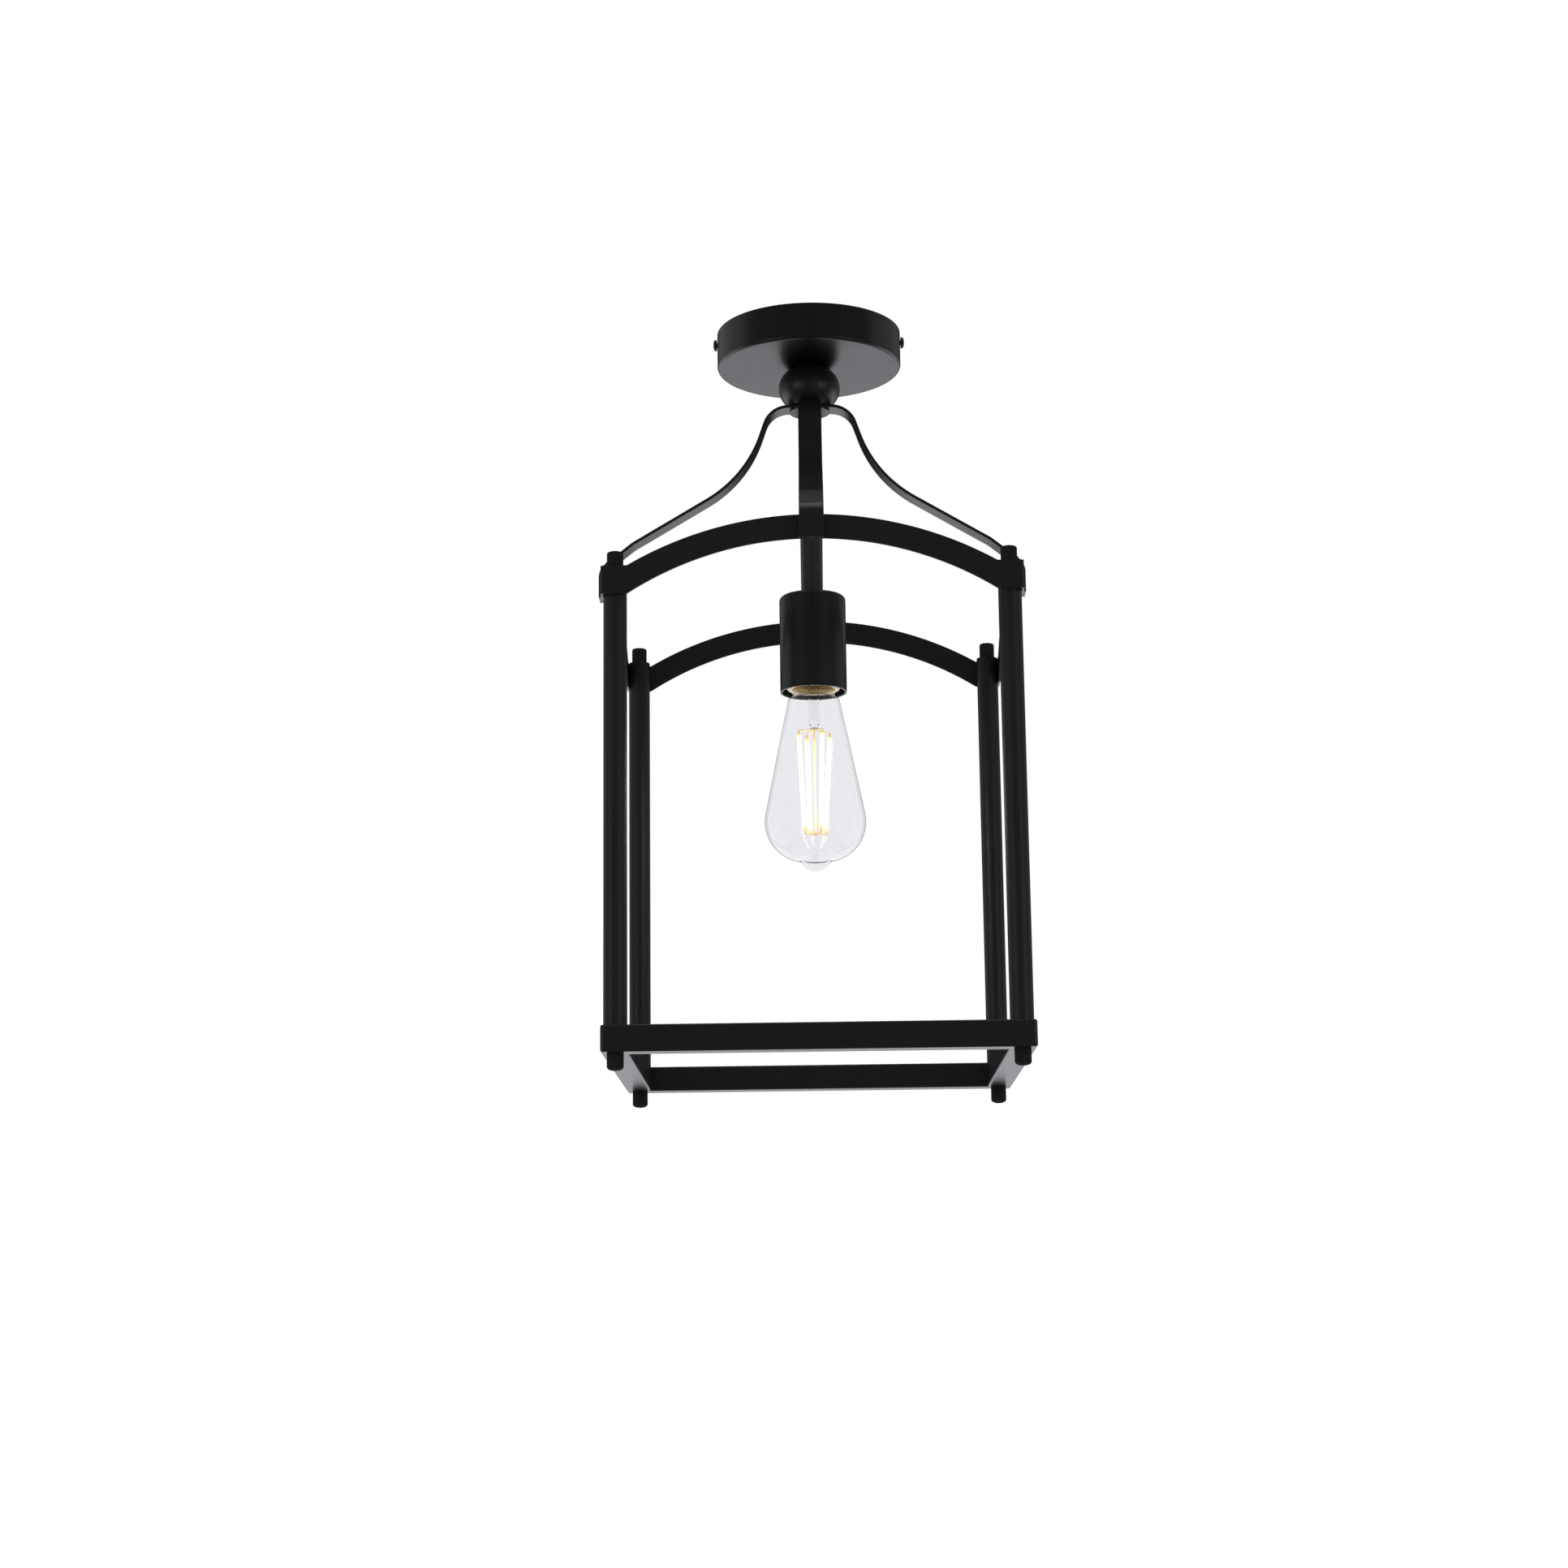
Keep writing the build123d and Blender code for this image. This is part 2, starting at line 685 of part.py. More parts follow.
def make_socket_terminals():
    with BuildPart() as terminals:
        with Locations((TERMINAL_X, 0, socket_top), (-TERMINAL_X, 0, socket_top)):
            Box(*TERMINAL_SIZE, align=BOTTOM)
        with Locations(
            (TERMINAL_X, 0, socket_top + TERMINAL_SIZE[2]),
            (-TERMINAL_X, 0, socket_top + TERMINAL_SIZE[2]),
        ):
            Cylinder(TERMINAL_HEAD_D / 2, TERMINAL_HEAD_H, align=BOTTOM)
    save(terminals, "socket_terminals")


# Leads


def make_lead(name, way):
    reach = TERMINAL_X - TERMINAL_SIZE[0] / 2
    with BuildPart() as lead:
        with BuildLine(Plane.XZ) as route:
            FilletPolyline(
                (way * reach, lead_z),
                (way * LEAD_X, lead_z),
                (way * LEAD_X, -LEAD_TOP_DEPTH),
                (way * LEAD_RUN_OUT, -LEAD_TOP_DEPTH),
                (way * LEAD_RUN_DOWN, connector_z),
                (way * LEAD_END, connector_z),
                radius=LEAD_BEND_R,
            )
        with BuildSketch(Plane(origin=route.line @ 0, z_dir=route.line % 0)):
            Circle(LEAD_D / 2)
        sweep()
    save(lead, name)


def make_ground_lead():
    low = cup_nipple_foot - GROUND_LEAD_BELOW_NIPPLE
    high = -CROSSBAR_T - GROUND_LEAD_D / 2 - RUNNING_ROOM
    screw_side = GROUND_SCREW_X - GROUND_SCREW_D / 2 - THREAD_ROOM
    with BuildPart() as lead:
        with BuildLine() as route:
            FilletPolyline(
                (0, BRACKET_HALF, low),
                (0, GROUND_LEAD_Y, low),
                (0, GROUND_LEAD_Y, high),
                (screw_side, GROUND_LEAD_Y, high),
                radius=GROUND_LEAD_BEND_R,
            )
        with BuildSketch(Plane(origin=route.line @ 0, z_dir=route.line % 0)):
            Circle(GROUND_LEAD_D / 2)
        sweep()
    save(lead, "ground_lead")


def make_wire_connectors():
    mouth = LEAD_END - CONNECTOR_BITE
    bore_r = LEAD_D / 2 + THREAD_ROOM
    bore_end = LEAD_END + THREAD_ROOM
    with BuildPart() as connectors:
        for way in (-1, 1):
            with BuildSketch(Plane.XZ):
                with BuildLine():
                    Polyline(
                        (way * mouth, connector_z + bore_r),
                        (way * mouth, connector_z + CONNECTOR_D / 2),
                        (way * (mouth + CONNECTOR_L), connector_z + CONNECTOR_TIP_D / 2),
                        (way * (mouth + CONNECTOR_L), connector_z),
                        (way * bore_end, connector_z),
                        (way * bore_end, connector_z + bore_r),
                        close=True,
                    )
                make_face()
            revolve(axis=Axis((0, 0, connector_z), (1, 0, 0)))
    save(connectors, "wire_connectors")


# Bulb


def make_bulb_cap():
    with BuildPart() as cap:
        with BuildSketch(Plane.XZ):
            with BuildLine():
                Polyline(
                    (cap_bore_r, cap_rim),
                    (cap_root_r, cap_rim),
                    (cap_root_r, cap_rim + CAP_SKIRT_L),
                    (CAP_SHOULDER_D / 2, cap_top),
                    (CAP_SHOULDER_D / 2 - CAP_WALL, cap_top),
                    (cap_bore_r, cap_rim + CAP_SKIRT_L),
                    close=True,
                )
            make_face()
        revolve(axis=Axis.Z)
        for ridge in range(CAP_RIDGES):
            with Locations((0, 0, cap_rim + CAP_FIRST_RIDGE + ridge * CAP_PITCH)):
                Torus(cap_root_r, CAP_RIDGE_H)
    save(cap, "bulb_cap")


def make_bulb_insulator():
    with BuildPart() as insulator:
        with Locations((0, 0, cap_top)):
            Cone(CAP_SHOULDER_D / 2, INSULATOR_TIP_D / 2, INSULATOR_L, align=BOTTOM)
    save(insulator, "bulb_insulator")


def make_bulb_tip():
    with BuildPart() as tip:
        with BuildSketch(Plane.XZ):
            with BuildLine():
                Line((0, tip_top), (0, insulator_top))
                Line((0, insulator_top), (TIP_D / 2, insulator_top))
                TangentArc((0, tip_top), (TIP_D / 2, insulator_top), tangent=(1, 0))
            make_face()
        revolve(axis=Axis.Z)
    save(tip, "bulb_tip")


def glass_outline():
    """Half section of the bulb from its drawn-off tip to the top of its neck, as a face."""
    widest = cup_mouth - BULB_WIDEST_DEPTH
    round_x = BULB_D / 2 - BULB_SHOULDER_R
    bend_x = (BULB_NUB_R + BULB_NUB_BEND_R) * cos(radians(BULB_NUB_LEAN))
    bend_far = BULB_SHOULDER_R + BULB_NUB_BEND_R
    bend_z = widest - sqrt(bend_far**2 - (bend_x - round_x) ** 2)
    bend_angle = degrees(atan2(bend_z - widest, bend_x - round_x))
    nub_z = bend_z + (BULB_NUB_R + BULB_NUB_BEND_R) * sin(radians(BULB_NUB_LEAN))
    flare = (BULB_FLARE_R, cup_mouth + BULB_FLARE_DEPTH - BULB_FLARE_R + BULB_NECK_R)
    neck = (BULB_NECK_R, cup_mouth + 2 * BULB_FLARE_DEPTH + BULB_NECK_BENDS[0])
    far = sqrt((flare[0] - round_x) ** 2 + (flare[1] - widest) ** 2)
    lean = degrees(atan2(flare[1] - widest, flare[0] - round_x))
    touch = lean - degrees(atan2(sqrt(far**2 - BULB_SHOULDER_R**2), BULB_SHOULDER_R))
    neck_top = cap_rim + BULB_NECK_IN_CAP
    with BuildSketch(Plane.XZ) as half:
        with BuildLine():
            body = CenterArc((round_x, widest), BULB_SHOULDER_R, touch, bend_angle - touch)
            FilletPolyline((BULB_NECK_R, neck_top), neck, flare, body @ 0, radius=BULB_NECK_BENDS)
            CenterArc((bend_x, bend_z), BULB_NUB_BEND_R, bend_angle + 180, -bend_angle - BULB_NUB_LEAN)
            CenterArc((0, nub_z), BULB_NUB_R, -BULB_NUB_LEAN, BULB_NUB_LEAN - 90)
            Line((0, nub_z - BULB_NUB_R), (0, neck_top))
            Line((0, neck_top), (BULB_NECK_R, neck_top))
        make_face()
    return half.sketch


def make_bulb_glass():
    outline = glass_outline()
    with BuildSketch(Plane.XZ) as hollow:
        add(outline)
        mirror(about=Plane.YZ)
        offset(amount=-GLASS_T, mode=Mode.REPLACE)
        with Locations((BULB_D / 2, canopy_under)):
            Rectangle(BULB_D, -4 * cup_mouth, mode=Mode.INTERSECT)
    with BuildPart() as glass:
        revolve(outline, axis=Axis.Z)
        revolve(hollow.sketch, axis=Axis.Z, mode=Mode.SUBTRACT)
    save(glass, "bulb_glass")


def make_bulb_mount():
    top = cap_rim + BULB_NECK_IN_CAP - GLASS_T
    with BuildPart() as mount:
        with BuildSketch(Plane.XZ):
            with BuildLine():
                Polyline(
                    (0, top),
                    (MOUNT_FLARE_R, top),
                    (MOUNT_R, top - MOUNT_FLARE_H),
                    (MOUNT_R, top - MOUNT_TUBE_L),
                    (MOUNT_TIP_R, top - MOUNT_TUBE_L - MOUNT_TIP_R),
                    (MOUNT_TIP_R, top - MOUNT_TUBE_L - MOUNT_TIP_L),
                    (0, top - MOUNT_TUBE_L - MOUNT_TIP_L),
                    close=True,
                )
            make_face()
        revolve(axis=Axis.Z)
        with Locations((0, 0, top)):
            Cylinder(MOUNT_R - GLASS_T, MOUNT_TUBE_L, align=TOP, mode=Mode.SUBTRACT)
    save(mount, "bulb_mount")


def filament_ends(number):
    """Upper and lower end of one filament, which leans in towards the axis."""
    turn = radians(FILAMENT_TURN + number * 360 / FILAMENTS)
    high = cup_mouth - FILAMENT_TOP_DEPTH
    lean_in = FILAMENT_TOP_R - FILAMENT_FOOT_R
    low = high - sqrt(FILAMENT_L**2 - lean_in**2)
    upper = (FILAMENT_TOP_R * cos(turn), FILAMENT_TOP_R * sin(turn), high)
    lower = (FILAMENT_FOOT_R * cos(turn), FILAMENT_FOOT_R * sin(turn), low)
    return upper, lower


def make_bulb_filaments():
    with BuildPart() as filaments:
        for number in range(FILAMENTS):
            with BuildSketch(along(*filament_ends(number))):
                Circle(FILAMENT_D / 2)
            extrude(amount=FILAMENT_L)
    save(filaments, "bulb_filaments")


def make_bulb_wires():
    mount_foot = cap_rim + BULB_NECK_IN_CAP - GLASS_T - MOUNT_TUBE_L - MOUNT_TIP_L
    rod_foot = filament_ends(0)[1][2] - CLIP_L - WIRE_D
    with BuildPart() as wires:
        with Locations((0, 0, mount_foot)):
            Cylinder(ROD_D / 2, mount_foot - rod_foot, align=TOP)
        for number in range(FILAMENTS):
            upper, lower = filament_ends(number)
            for end, far_end, hub_z in (
                (upper, lower, mount_foot - WIRE_D),
                (lower, upper, rod_foot + WIRE_D),
            ):
                clip_end = Vector(*end) + (Vector(*end) - Vector(*far_end)).normalized() * CLIP_L
                with BuildSketch(along(end, tuple(clip_end))):
                    Circle(CLIP_D / 2)
                extrude(amount=CLIP_L)
                outward = Vector(clip_end.X, clip_end.Y, 0).normalized()
                hub = outward * (ROD_D / 4) + Vector(0, 0, hub_z)
                with BuildSketch(along(tuple(hub), tuple(clip_end))):
                    Circle(WIRE_D / 2)
                extrude(amount=(clip_end - hub).length)
    save(wires, "bulb_wires")


def make_bulb_driver():
    board = cap_rim + BULB_NECK_IN_CAP + DRIVER_RISE
    with BuildPart() as driver:
        with Locations((0, 0, board)):
            Cylinder(cap_bore_r - THREAD_ROOM, DRIVER_T, align=BOTTOM)
            Box(*DRIVER_CHIP, align=TOP)
    save(driver, "bulb_driver")


def main():
    os.makedirs("parts", exist_ok=True)
    make_mounting_crossbar()
    make_ground_screw()
    make_canopy()
    make_canopy_screw("left")
    make_canopy_screw("right")
    make_threaded_tube("canopy_nipple", canopy_nipple_top, stem_top - NIPPLE_BITE)
    make_ring("nipple_lock_washer", LOCK_WASHER_D, canopy_floor, LOCK_WASHER_T)
    make_locknut("nipple_locknut", canopy_floor + LOCK_WASHER_T)
    make_neck_ball()
    make_ring("hub_washer", HUB_WASHER_D, stem_top, HUB_WASHER_T)
    make_stem_tube()
    for side in SIDES:
        make_strap_arm(side)
        make_arch(side)
        make_bottom_rail(side)
    make_strap_spacers()
    make_strap_screws()
    for name, (x, y) in CORNERS.items():
        make_corner_angle(name, x, y)
        make_post(name, x, y)
    make_corner_set_screws()
    make_post_plugs()
    make_cage_studs()
    make_finials("top_finials", cage_top, 1)
    make_finials("bottom_finials", rail_foot, -1)
    make_socket_cup()
    make_threaded_tube("cup_nipple", stem_foot + NIPPLE_BITE, cup_nipple_foot)
    make_locknut("cup_locknut", cup_roof - LOCKNUT_H)
    make_socket_bracket()
    make_bracket_screws()
    make_socket_body()
    make_socket_shell()
    make_socket_contact()
    make_socket_terminals()
    make_lead("lead_black", -1)
    make_lead("lead_white", 1)
    make_ground_lead()
    make_wire_connectors()
    make_bulb_cap()
    make_bulb_insulator()
    make_bulb_tip()
    make_bulb_glass()
    make_bulb_mount()
    make_bulb_filaments()
    make_bulb_wires()
    make_bulb_driver()


main()
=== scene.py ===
from math import acos, atan2, cos, pi, radians, sin, sqrt

import bmesh
import bpy
from mathutils import Matrix, Vector


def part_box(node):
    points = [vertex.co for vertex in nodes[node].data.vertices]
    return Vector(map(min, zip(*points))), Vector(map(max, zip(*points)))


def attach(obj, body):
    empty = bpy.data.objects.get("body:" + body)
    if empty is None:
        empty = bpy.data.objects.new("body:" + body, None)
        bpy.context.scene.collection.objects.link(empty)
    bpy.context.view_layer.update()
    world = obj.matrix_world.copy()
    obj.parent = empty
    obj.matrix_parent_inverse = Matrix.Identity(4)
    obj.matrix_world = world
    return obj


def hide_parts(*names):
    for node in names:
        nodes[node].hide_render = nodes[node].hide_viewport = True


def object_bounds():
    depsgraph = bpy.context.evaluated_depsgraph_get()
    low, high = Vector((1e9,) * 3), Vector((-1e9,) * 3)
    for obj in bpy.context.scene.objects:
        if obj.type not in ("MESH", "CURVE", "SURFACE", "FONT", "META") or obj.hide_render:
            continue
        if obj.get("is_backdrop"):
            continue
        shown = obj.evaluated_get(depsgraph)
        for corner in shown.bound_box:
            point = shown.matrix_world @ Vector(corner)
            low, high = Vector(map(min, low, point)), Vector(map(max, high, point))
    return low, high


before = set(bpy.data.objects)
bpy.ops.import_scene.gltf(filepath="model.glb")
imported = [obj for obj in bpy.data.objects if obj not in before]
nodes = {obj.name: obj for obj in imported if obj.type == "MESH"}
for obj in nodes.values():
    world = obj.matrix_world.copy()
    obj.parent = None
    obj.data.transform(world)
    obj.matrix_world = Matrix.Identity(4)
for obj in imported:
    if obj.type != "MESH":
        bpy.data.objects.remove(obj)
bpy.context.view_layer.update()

bl_info = {
    "name": "Arched lantern ceiling light",
    "version": (1, 0, 0),
    "blender": (4, 5, 0),
    "location": "View3D > Sidebar > Lantern",
    "description": "Dresses the lantern's solids with finishes, threads, screw heads, glass and a studio",
    "category": "Object",
}

# CAD nodes that share a finish
COATED = [
    name
    for name in nodes
    if name.startswith(("strap_arm_", "arch_", "corner_angle_", "bottom_rail_"))
] + ["strap_spacers", "socket_cup"]
POSTS = [name for name in nodes if name.startswith(("post_front_", "post_back_"))]
NECK = ["neck_ball", "hub_washer"]
THREADED = ["canopy_nipple", "cup_nipple", "cage_studs", "post_plugs"]
PLATED = [
    "mounting_crossbar",
    "nipple_lock_washer",
    "nipple_locknut",
    "cup_locknut",
    "socket_bracket",
    "bracket_screws",
]

# Screws, with lengths in metres here and below
SIDE_HEAD_H = 0.0024
SIDE_DOME = 0.5
SIDE_SHANK_L = 0.009
STRAP_HEAD_H = 0.0026
STRAP_DOME = 0.6
SHANK_R = 0.002
SCREW_PITCH = 0.0007
SCREW_UNDERCUT = 0.0004
SCREW_POINT = 0.0006
SCREW_FADE = 0.0005
RECESS_W = 0.0009
RECESS_SHARE = 0.45
CUTTER_OVER = 0.001

# Cap nuts
NUT_FLAT_R = 0.0008
NUT_ROUGHNESS = 0.8
NUT_GLOSS = 0.15

# Lamp holder and bulb
SHELL_FADE = 0.003
GLASS_IOR = 1.2
GLASS_NECK_R = 0.0112
GLASS_NECK_EDGE = 0.001
GLASS_NECK_UP = 0.003
GLASS_NECK_BEND_R = 0.0012
FLARE_R = 0.0164
FLARE_DOWN = 0.0043
FLARE_BEND_R = 0.0018
NUB_BEND_R = 0.002
NUB_LEAN = radians(26.7)
CAP_MOUTH_R = 0.0095
CAP_SKIRT_H = 0.0016
CAP_SKIRT_RISE = 0.0007
CAP_SKIRT_IN = 0.0008
CAP_SKIRT_DOWN = 0.0002
CAP_INSIDE_DOWN = 0.001
CAP_THREAD_TOP = 0.0008
CAP_THREAD_FOOT = 0.0022
CAP_THREAD_FADE = 0.0016
CAP_RIM_H = 0.0012

# Wire connectors
LEAD_OVERLAP = 0.006
LEAD_BORE_R = 0.0016
LEAD_BORE_L = 0.0061
CONNECTOR_EDGE = 0.0008
CONNECTOR_ROWS = 14
RIB_DEPTH = 0.05

# Softboxes of the studio: name, place, aim, size and the property that holds the power
LANTERN_MIDDLE = (0, 0, -0.25)
NECK_MIDDLE = (0, 0, -0.05)
SOFTBOXES = (
    ("left_softbox", (-1.6, 0.85, 0.2), LANTERN_MIDDLE, (2.2, 2.2), "left_light"),
    ("right_softbox", (1.6, 0.85, 0.2), LANTERN_MIDDLE, (2.2, 2.2), "right_light"),
    ("front_left_softbox", (-1.3, -1.25, -0.28), NECK_MIDDLE, (0.9, 0.7), "front_light"),
    ("front_right_softbox", (1.3, -1.25, -0.28), NECK_MIDDLE, (0.9, 0.7), "front_light"),
    ("overhead_softbox", (0.0, 0.2, 1.4), LANTERN_MIDDLE, (1.6, 1.6), "top_light"),
)

# Floor, room and camera of the studio
FLOOR_R = 6.0
FLOOR_SEEN = 0.8
FLOOR_WHITE = 1.05
FILL_COLOR = (0.96, 0.97, 1.0, 1)
STRAIGHT_RAYS = ["Is Camera Ray", "Is Transmission Ray"]
CAMERA_PLACE = (-0.001295, -1.804925, -0.6699)
CAMERA_PITCH = radians(-11.556)
CAMERA_YAW = radians(0.585)
CAMERA_ROLL = radians(-0.697)
CAMERA_LENS = 66.387
CAMERA_SENSOR = 36.0


class LanternFinish(bpy.types.PropertyGroup):
    """Colours and gloss of the lantern"""

    coat: bpy.props.FloatVectorProperty(
        name="Black coat", description="Colour of the satin powder coat",
        subtype="COLOR", size=3, min=0, max=1, default=(0.0086, 0.0085, 0.0093))
    coat_roughness: bpy.props.FloatProperty(
        name="Coat roughness", description="How satin the powder coat is",
        subtype="FACTOR", min=0, max=1, default=0.26)
    cap_nut: bpy.props.FloatVectorProperty(
        name="Cap nuts", description="Colour of the round cap nuts",
        subtype="COLOR", size=3, min=0, max=1, default=(0.011, 0.0108, 0.0116))
    zinc: bpy.props.FloatVectorProperty(
        name="Zinc plate", description="Colour of plated steel",
        subtype="COLOR", size=3, min=0, max=1, default=(0.6, 0.6, 0.58))
    brass: bpy.props.FloatVectorProperty(
        name="Brass", description="Colour of the screw shells and terminals",
        subtype="COLOR", size=3, min=0, max=1, default=(0.92, 0.68, 0.27))
    copper: bpy.props.FloatVectorProperty(
        name="Copper", description="Colour of the bare ground wire",
        subtype="COLOR", size=3, min=0, max=1, default=(0.72, 0.34, 0.18))
    porcelain: bpy.props.FloatVectorProperty(
        name="Porcelain", description="Colour of the lamp holder's body",
        subtype="COLOR", size=3, min=0, max=1, default=(0.86, 0.8, 0.66))
    connector: bpy.props.FloatVectorProperty(
        name="Connectors", description="Colour of the twist-on wire connectors",
        subtype="COLOR", size=3, min=0, max=1, default=(0.8, 0.24, 0.035))
    glow: bpy.props.FloatProperty(
        name="Filament glow", description="Strength of the light from the filaments",
        min=0, max=50, default=10.9)


class LanternShape(bpy.types.PropertyGroup):
    """Sizes of the pieces that are made here"""

    thread_pitch: bpy.props.FloatProperty(
        name="Lamp thread pitch", description="Rise of the bulb's thread in one turn",
        subtype="DISTANCE", unit="LENGTH", min=0.001, max=0.01, default=0.003629)
    thread_depth: bpy.props.FloatProperty(
        name="Lamp thread depth", description="Height of the bulb's thread",
        subtype="DISTANCE", unit="LENGTH", min=0, max=0.002, default=0.0007)
    sheet: bpy.props.FloatProperty(
        name="Brass sheet", description="Thickness of the two brass screw shells",
        subtype="DISTANCE", unit="LENGTH", min=0.0002, max=0.002, default=0.00045)
    glass_wall: bpy.props.FloatProperty(
        name="Glass wall", description="Thickness of the bulb's glass",
        subtype="DISTANCE", unit="LENGTH", min=0.0003, max=0.003, default=0.0008)
    shoulder: bpy.props.FloatProperty(
        name="Bulb shoulder", description="Radius of the bulb's round lower half",
        subtype="DISTANCE", unit="LENGTH", min=0.01, max=0.04, default=0.0252)
    nub: bpy.props.FloatProperty(
        name="Bulb tip", description="Radius of the drawn-off tip",
        subtype="DISTANCE", unit="LENGTH", min=0.002, max=0.02, default=0.0103)
    cap_dome: bpy.props.FloatProperty(
        name="Cap nut dome", description="Height of the domed end of the bottom cap nuts",
        subtype="DISTANCE", unit="LENGTH", min=0.0002, max=0.005, default=0.0024)
    ribs: bpy.props.IntProperty(
        name="Connector ribs", description="Grip ribs round each wire connector",
        min=4, max=40, default=14)


class LanternStage(bpy.types.PropertyGroup):
    """Floor, light and background"""

    floor: bpy.props.FloatVectorProperty(
        name="Floor", description="Colour of the floor",
        subtype="COLOR", size=3, min=0, max=1, default=(0.86, 0.86, 0.86))
    drop: bpy.props.FloatProperty(
        name="Floor drop", description="Distance from the lantern's lowest point to the floor",
        subtype="DISTANCE", unit="LENGTH", min=0.05, max=3, default=0.75)
    left_light: bpy.props.FloatProperty(
        name="Left softbox", description="Power of the softbox on the left",
        subtype="POWER", min=0, max=500, default=5.0)
    right_light: bpy.props.FloatProperty(
        name="Right softbox", description="Power of the softbox on the right",
        subtype="POWER", min=0, max=500, default=3.4)
    front_light: bpy.props.FloatProperty(
        name="Front softboxes", description="Power of each of the two low softboxes in front",
        subtype="POWER", min=0, max=500, default=1.7)
    top_light: bpy.props.FloatProperty(
        name="Overhead softbox", description="Power of the softbox over the lantern",
        subtype="POWER", min=0, max=500, default=6.0)
    fill: bpy.props.FloatProperty(
        name="Fill light", description="Even light from the room on matt surfaces",
        min=0, max=2, default=0.7)
    front_room: bpy.props.FloatProperty(
        name="Room in front", description="Brightness of the room in front, as gloss shows it",
        subtype="FACTOR", min=0, max=1, default=0.1)
    back_room: bpy.props.FloatProperty(
        name="Room behind", description="Brightness of the room over the floor behind, as gloss shows it",
        subtype="FACTOR", min=0, max=1, default=0.02)
    floor_gloss: bpy.props.FloatVectorProperty(
        name="Mirrored floor", description="Colour of the bright floor behind, as gloss shows it",
        subtype="COLOR", size=3, min=0, max=1, default=(0.945, 0.94, 1.0))
    floor_shine: bpy.props.FloatProperty(
        name="Mirrored floor level", description="Brightness of the bright floor behind, as gloss shows it",
        min=0, max=2, default=1.16)


# Shader groups shared by several finishes


def new_group(name, inputs, outputs):
    group = bpy.data.node_groups.new(name, "ShaderNodeTree")
    for label, value in inputs:
        socket = group.interface.new_socket(name=label, in_out="INPUT", socket_type="NodeSocketFloat")
        socket.default_value = value
    for label in outputs:
        group.interface.new_socket(name=label, in_out="OUTPUT", socket_type="NodeSocketFloat")
    return group, group.nodes.new("NodeGroupInput"), group.nodes.new("NodeGroupOutput")


def maths(tree, operation, *values):
    node = tree.nodes.new("ShaderNodeMath")
    node.operation = operation
    for socket, value in zip(node.inputs, values):
        if isinstance(value, (int, float)):
            socket.default_value = value
        else:
            tree.links.new(value, socket)
    return node.outputs[0]


def object_place(tree):
    return tree.nodes.new("ShaderNodeTexCoord").outputs["Object"]


def axis_value(tree, coordinates, axis):
    apart = tree.nodes.new("ShaderNodeSeparateXYZ")
    tree.links.new(coordinates, apart.inputs[0])
    return apart.outputs[axis]


def noise(tree, scale, detail, stretch=None):
    """Noise over object coordinates, with its scale from a socket, in features per metre."""
    coordinates = object_place(tree)
    if stretch is not None:
        mapping = tree.nodes.new("ShaderNodeMapping")
        mapping.inputs["Scale"].default_value = stretch
        tree.links.new(coordinates, mapping.inputs["Vector"])
        coordinates = mapping.outputs["Vector"]
    texture = tree.nodes.new("ShaderNodeTexNoise")
    texture.inputs["Detail"].default_value = detail
    tree.links.new(coordinates, texture.inputs["Vector"])
    tree.links.new(scale, texture.inputs["Scale"])
    return texture.outputs["Fac"]


def powder_grain_group():
    """Fine orange peel of a baked coat, with broad cloudy gloss."""
    group, start, end = new_group(
        "powder_grain", [("Grain", 1800.0), ("Cloud", 22.0)], ["Height", "Gloss"])
    group.links.new(noise(group, start.outputs["Grain"], 1.0), end.inputs["Height"])
    group.links.new(noise(group, start.outputs["Cloud"], 3.0), end.inputs["Gloss"])
    return group


def drawn_lines_group():
    """Fine lines left by drawing or turning, stretched along one axis, with soft patches."""
    group, start, end = new_group(
        "drawn_lines", [("Lines", 900.0), ("Patches", 60.0)], ["Height", "Patch"])
    lines = noise(group, start.outputs["Lines"], 2.0, (1.0, 1.0, 0.08))
    group.links.new(lines, end.inputs["Height"])
    group.links.new(noise(group, start.outputs["Patches"], 3.0), end.inputs["Patch"])
    return group


def cut_thread_group():
    """Rings of a fine machine thread along Z."""
    group, start, end = new_group("cut_thread", [("Turns per metre", 1000.0)], ["Height"])
    height = axis_value(group, object_place(group), "Z")
    turns = maths(group, "MULTIPLY", height, start.outputs["Turns per metre"])
    wave = maths(group, "PINGPONG", turns, 0.5)
    group.links.new(maths(group, "MULTIPLY", wave, 2.0), end.inputs["Height"])
    return group


def speckle_group():
    """Small dark specks in fired clay or a moulded skin."""
    group, start, end = new_group("speckle", [("Size", 700.0), ("Amount", 0.3)], ["Mask", "Height"])
    grains = noise(group, start.outputs["Size"], 4.0)
    edge = maths(group, "SUBTRACT", 1.0, start.outputs["Amount"])
    spots = maths(group, "MULTIPLY", maths(group, "SUBTRACT", grains, edge), 6.0)
    clamped = maths(group, "MINIMUM", maths(group, "MAXIMUM", spots, 0.0), 1.0)
    group.links.new(clamped, end.inputs["Mask"])
    group.links.new(grains, end.inputs["Height"])
    return group


GROUP_MAKERS = {
    "powder_grain": powder_grain_group,
    "drawn_lines": drawn_lines_group,
    "cut_thread": cut_thread_group,
    "speckle": speckle_group,
}


def place_group(tree, name, **values):
    group = bpy.data.node_groups.get(name) or GROUP_MAKERS[name]()
    node = tree.nodes.new("ShaderNodeGroup")
    node.node_tree = group
    for label, value in values.items():
        node.inputs[label.replace("_", " ")].default_value = value
    return node


# Materials


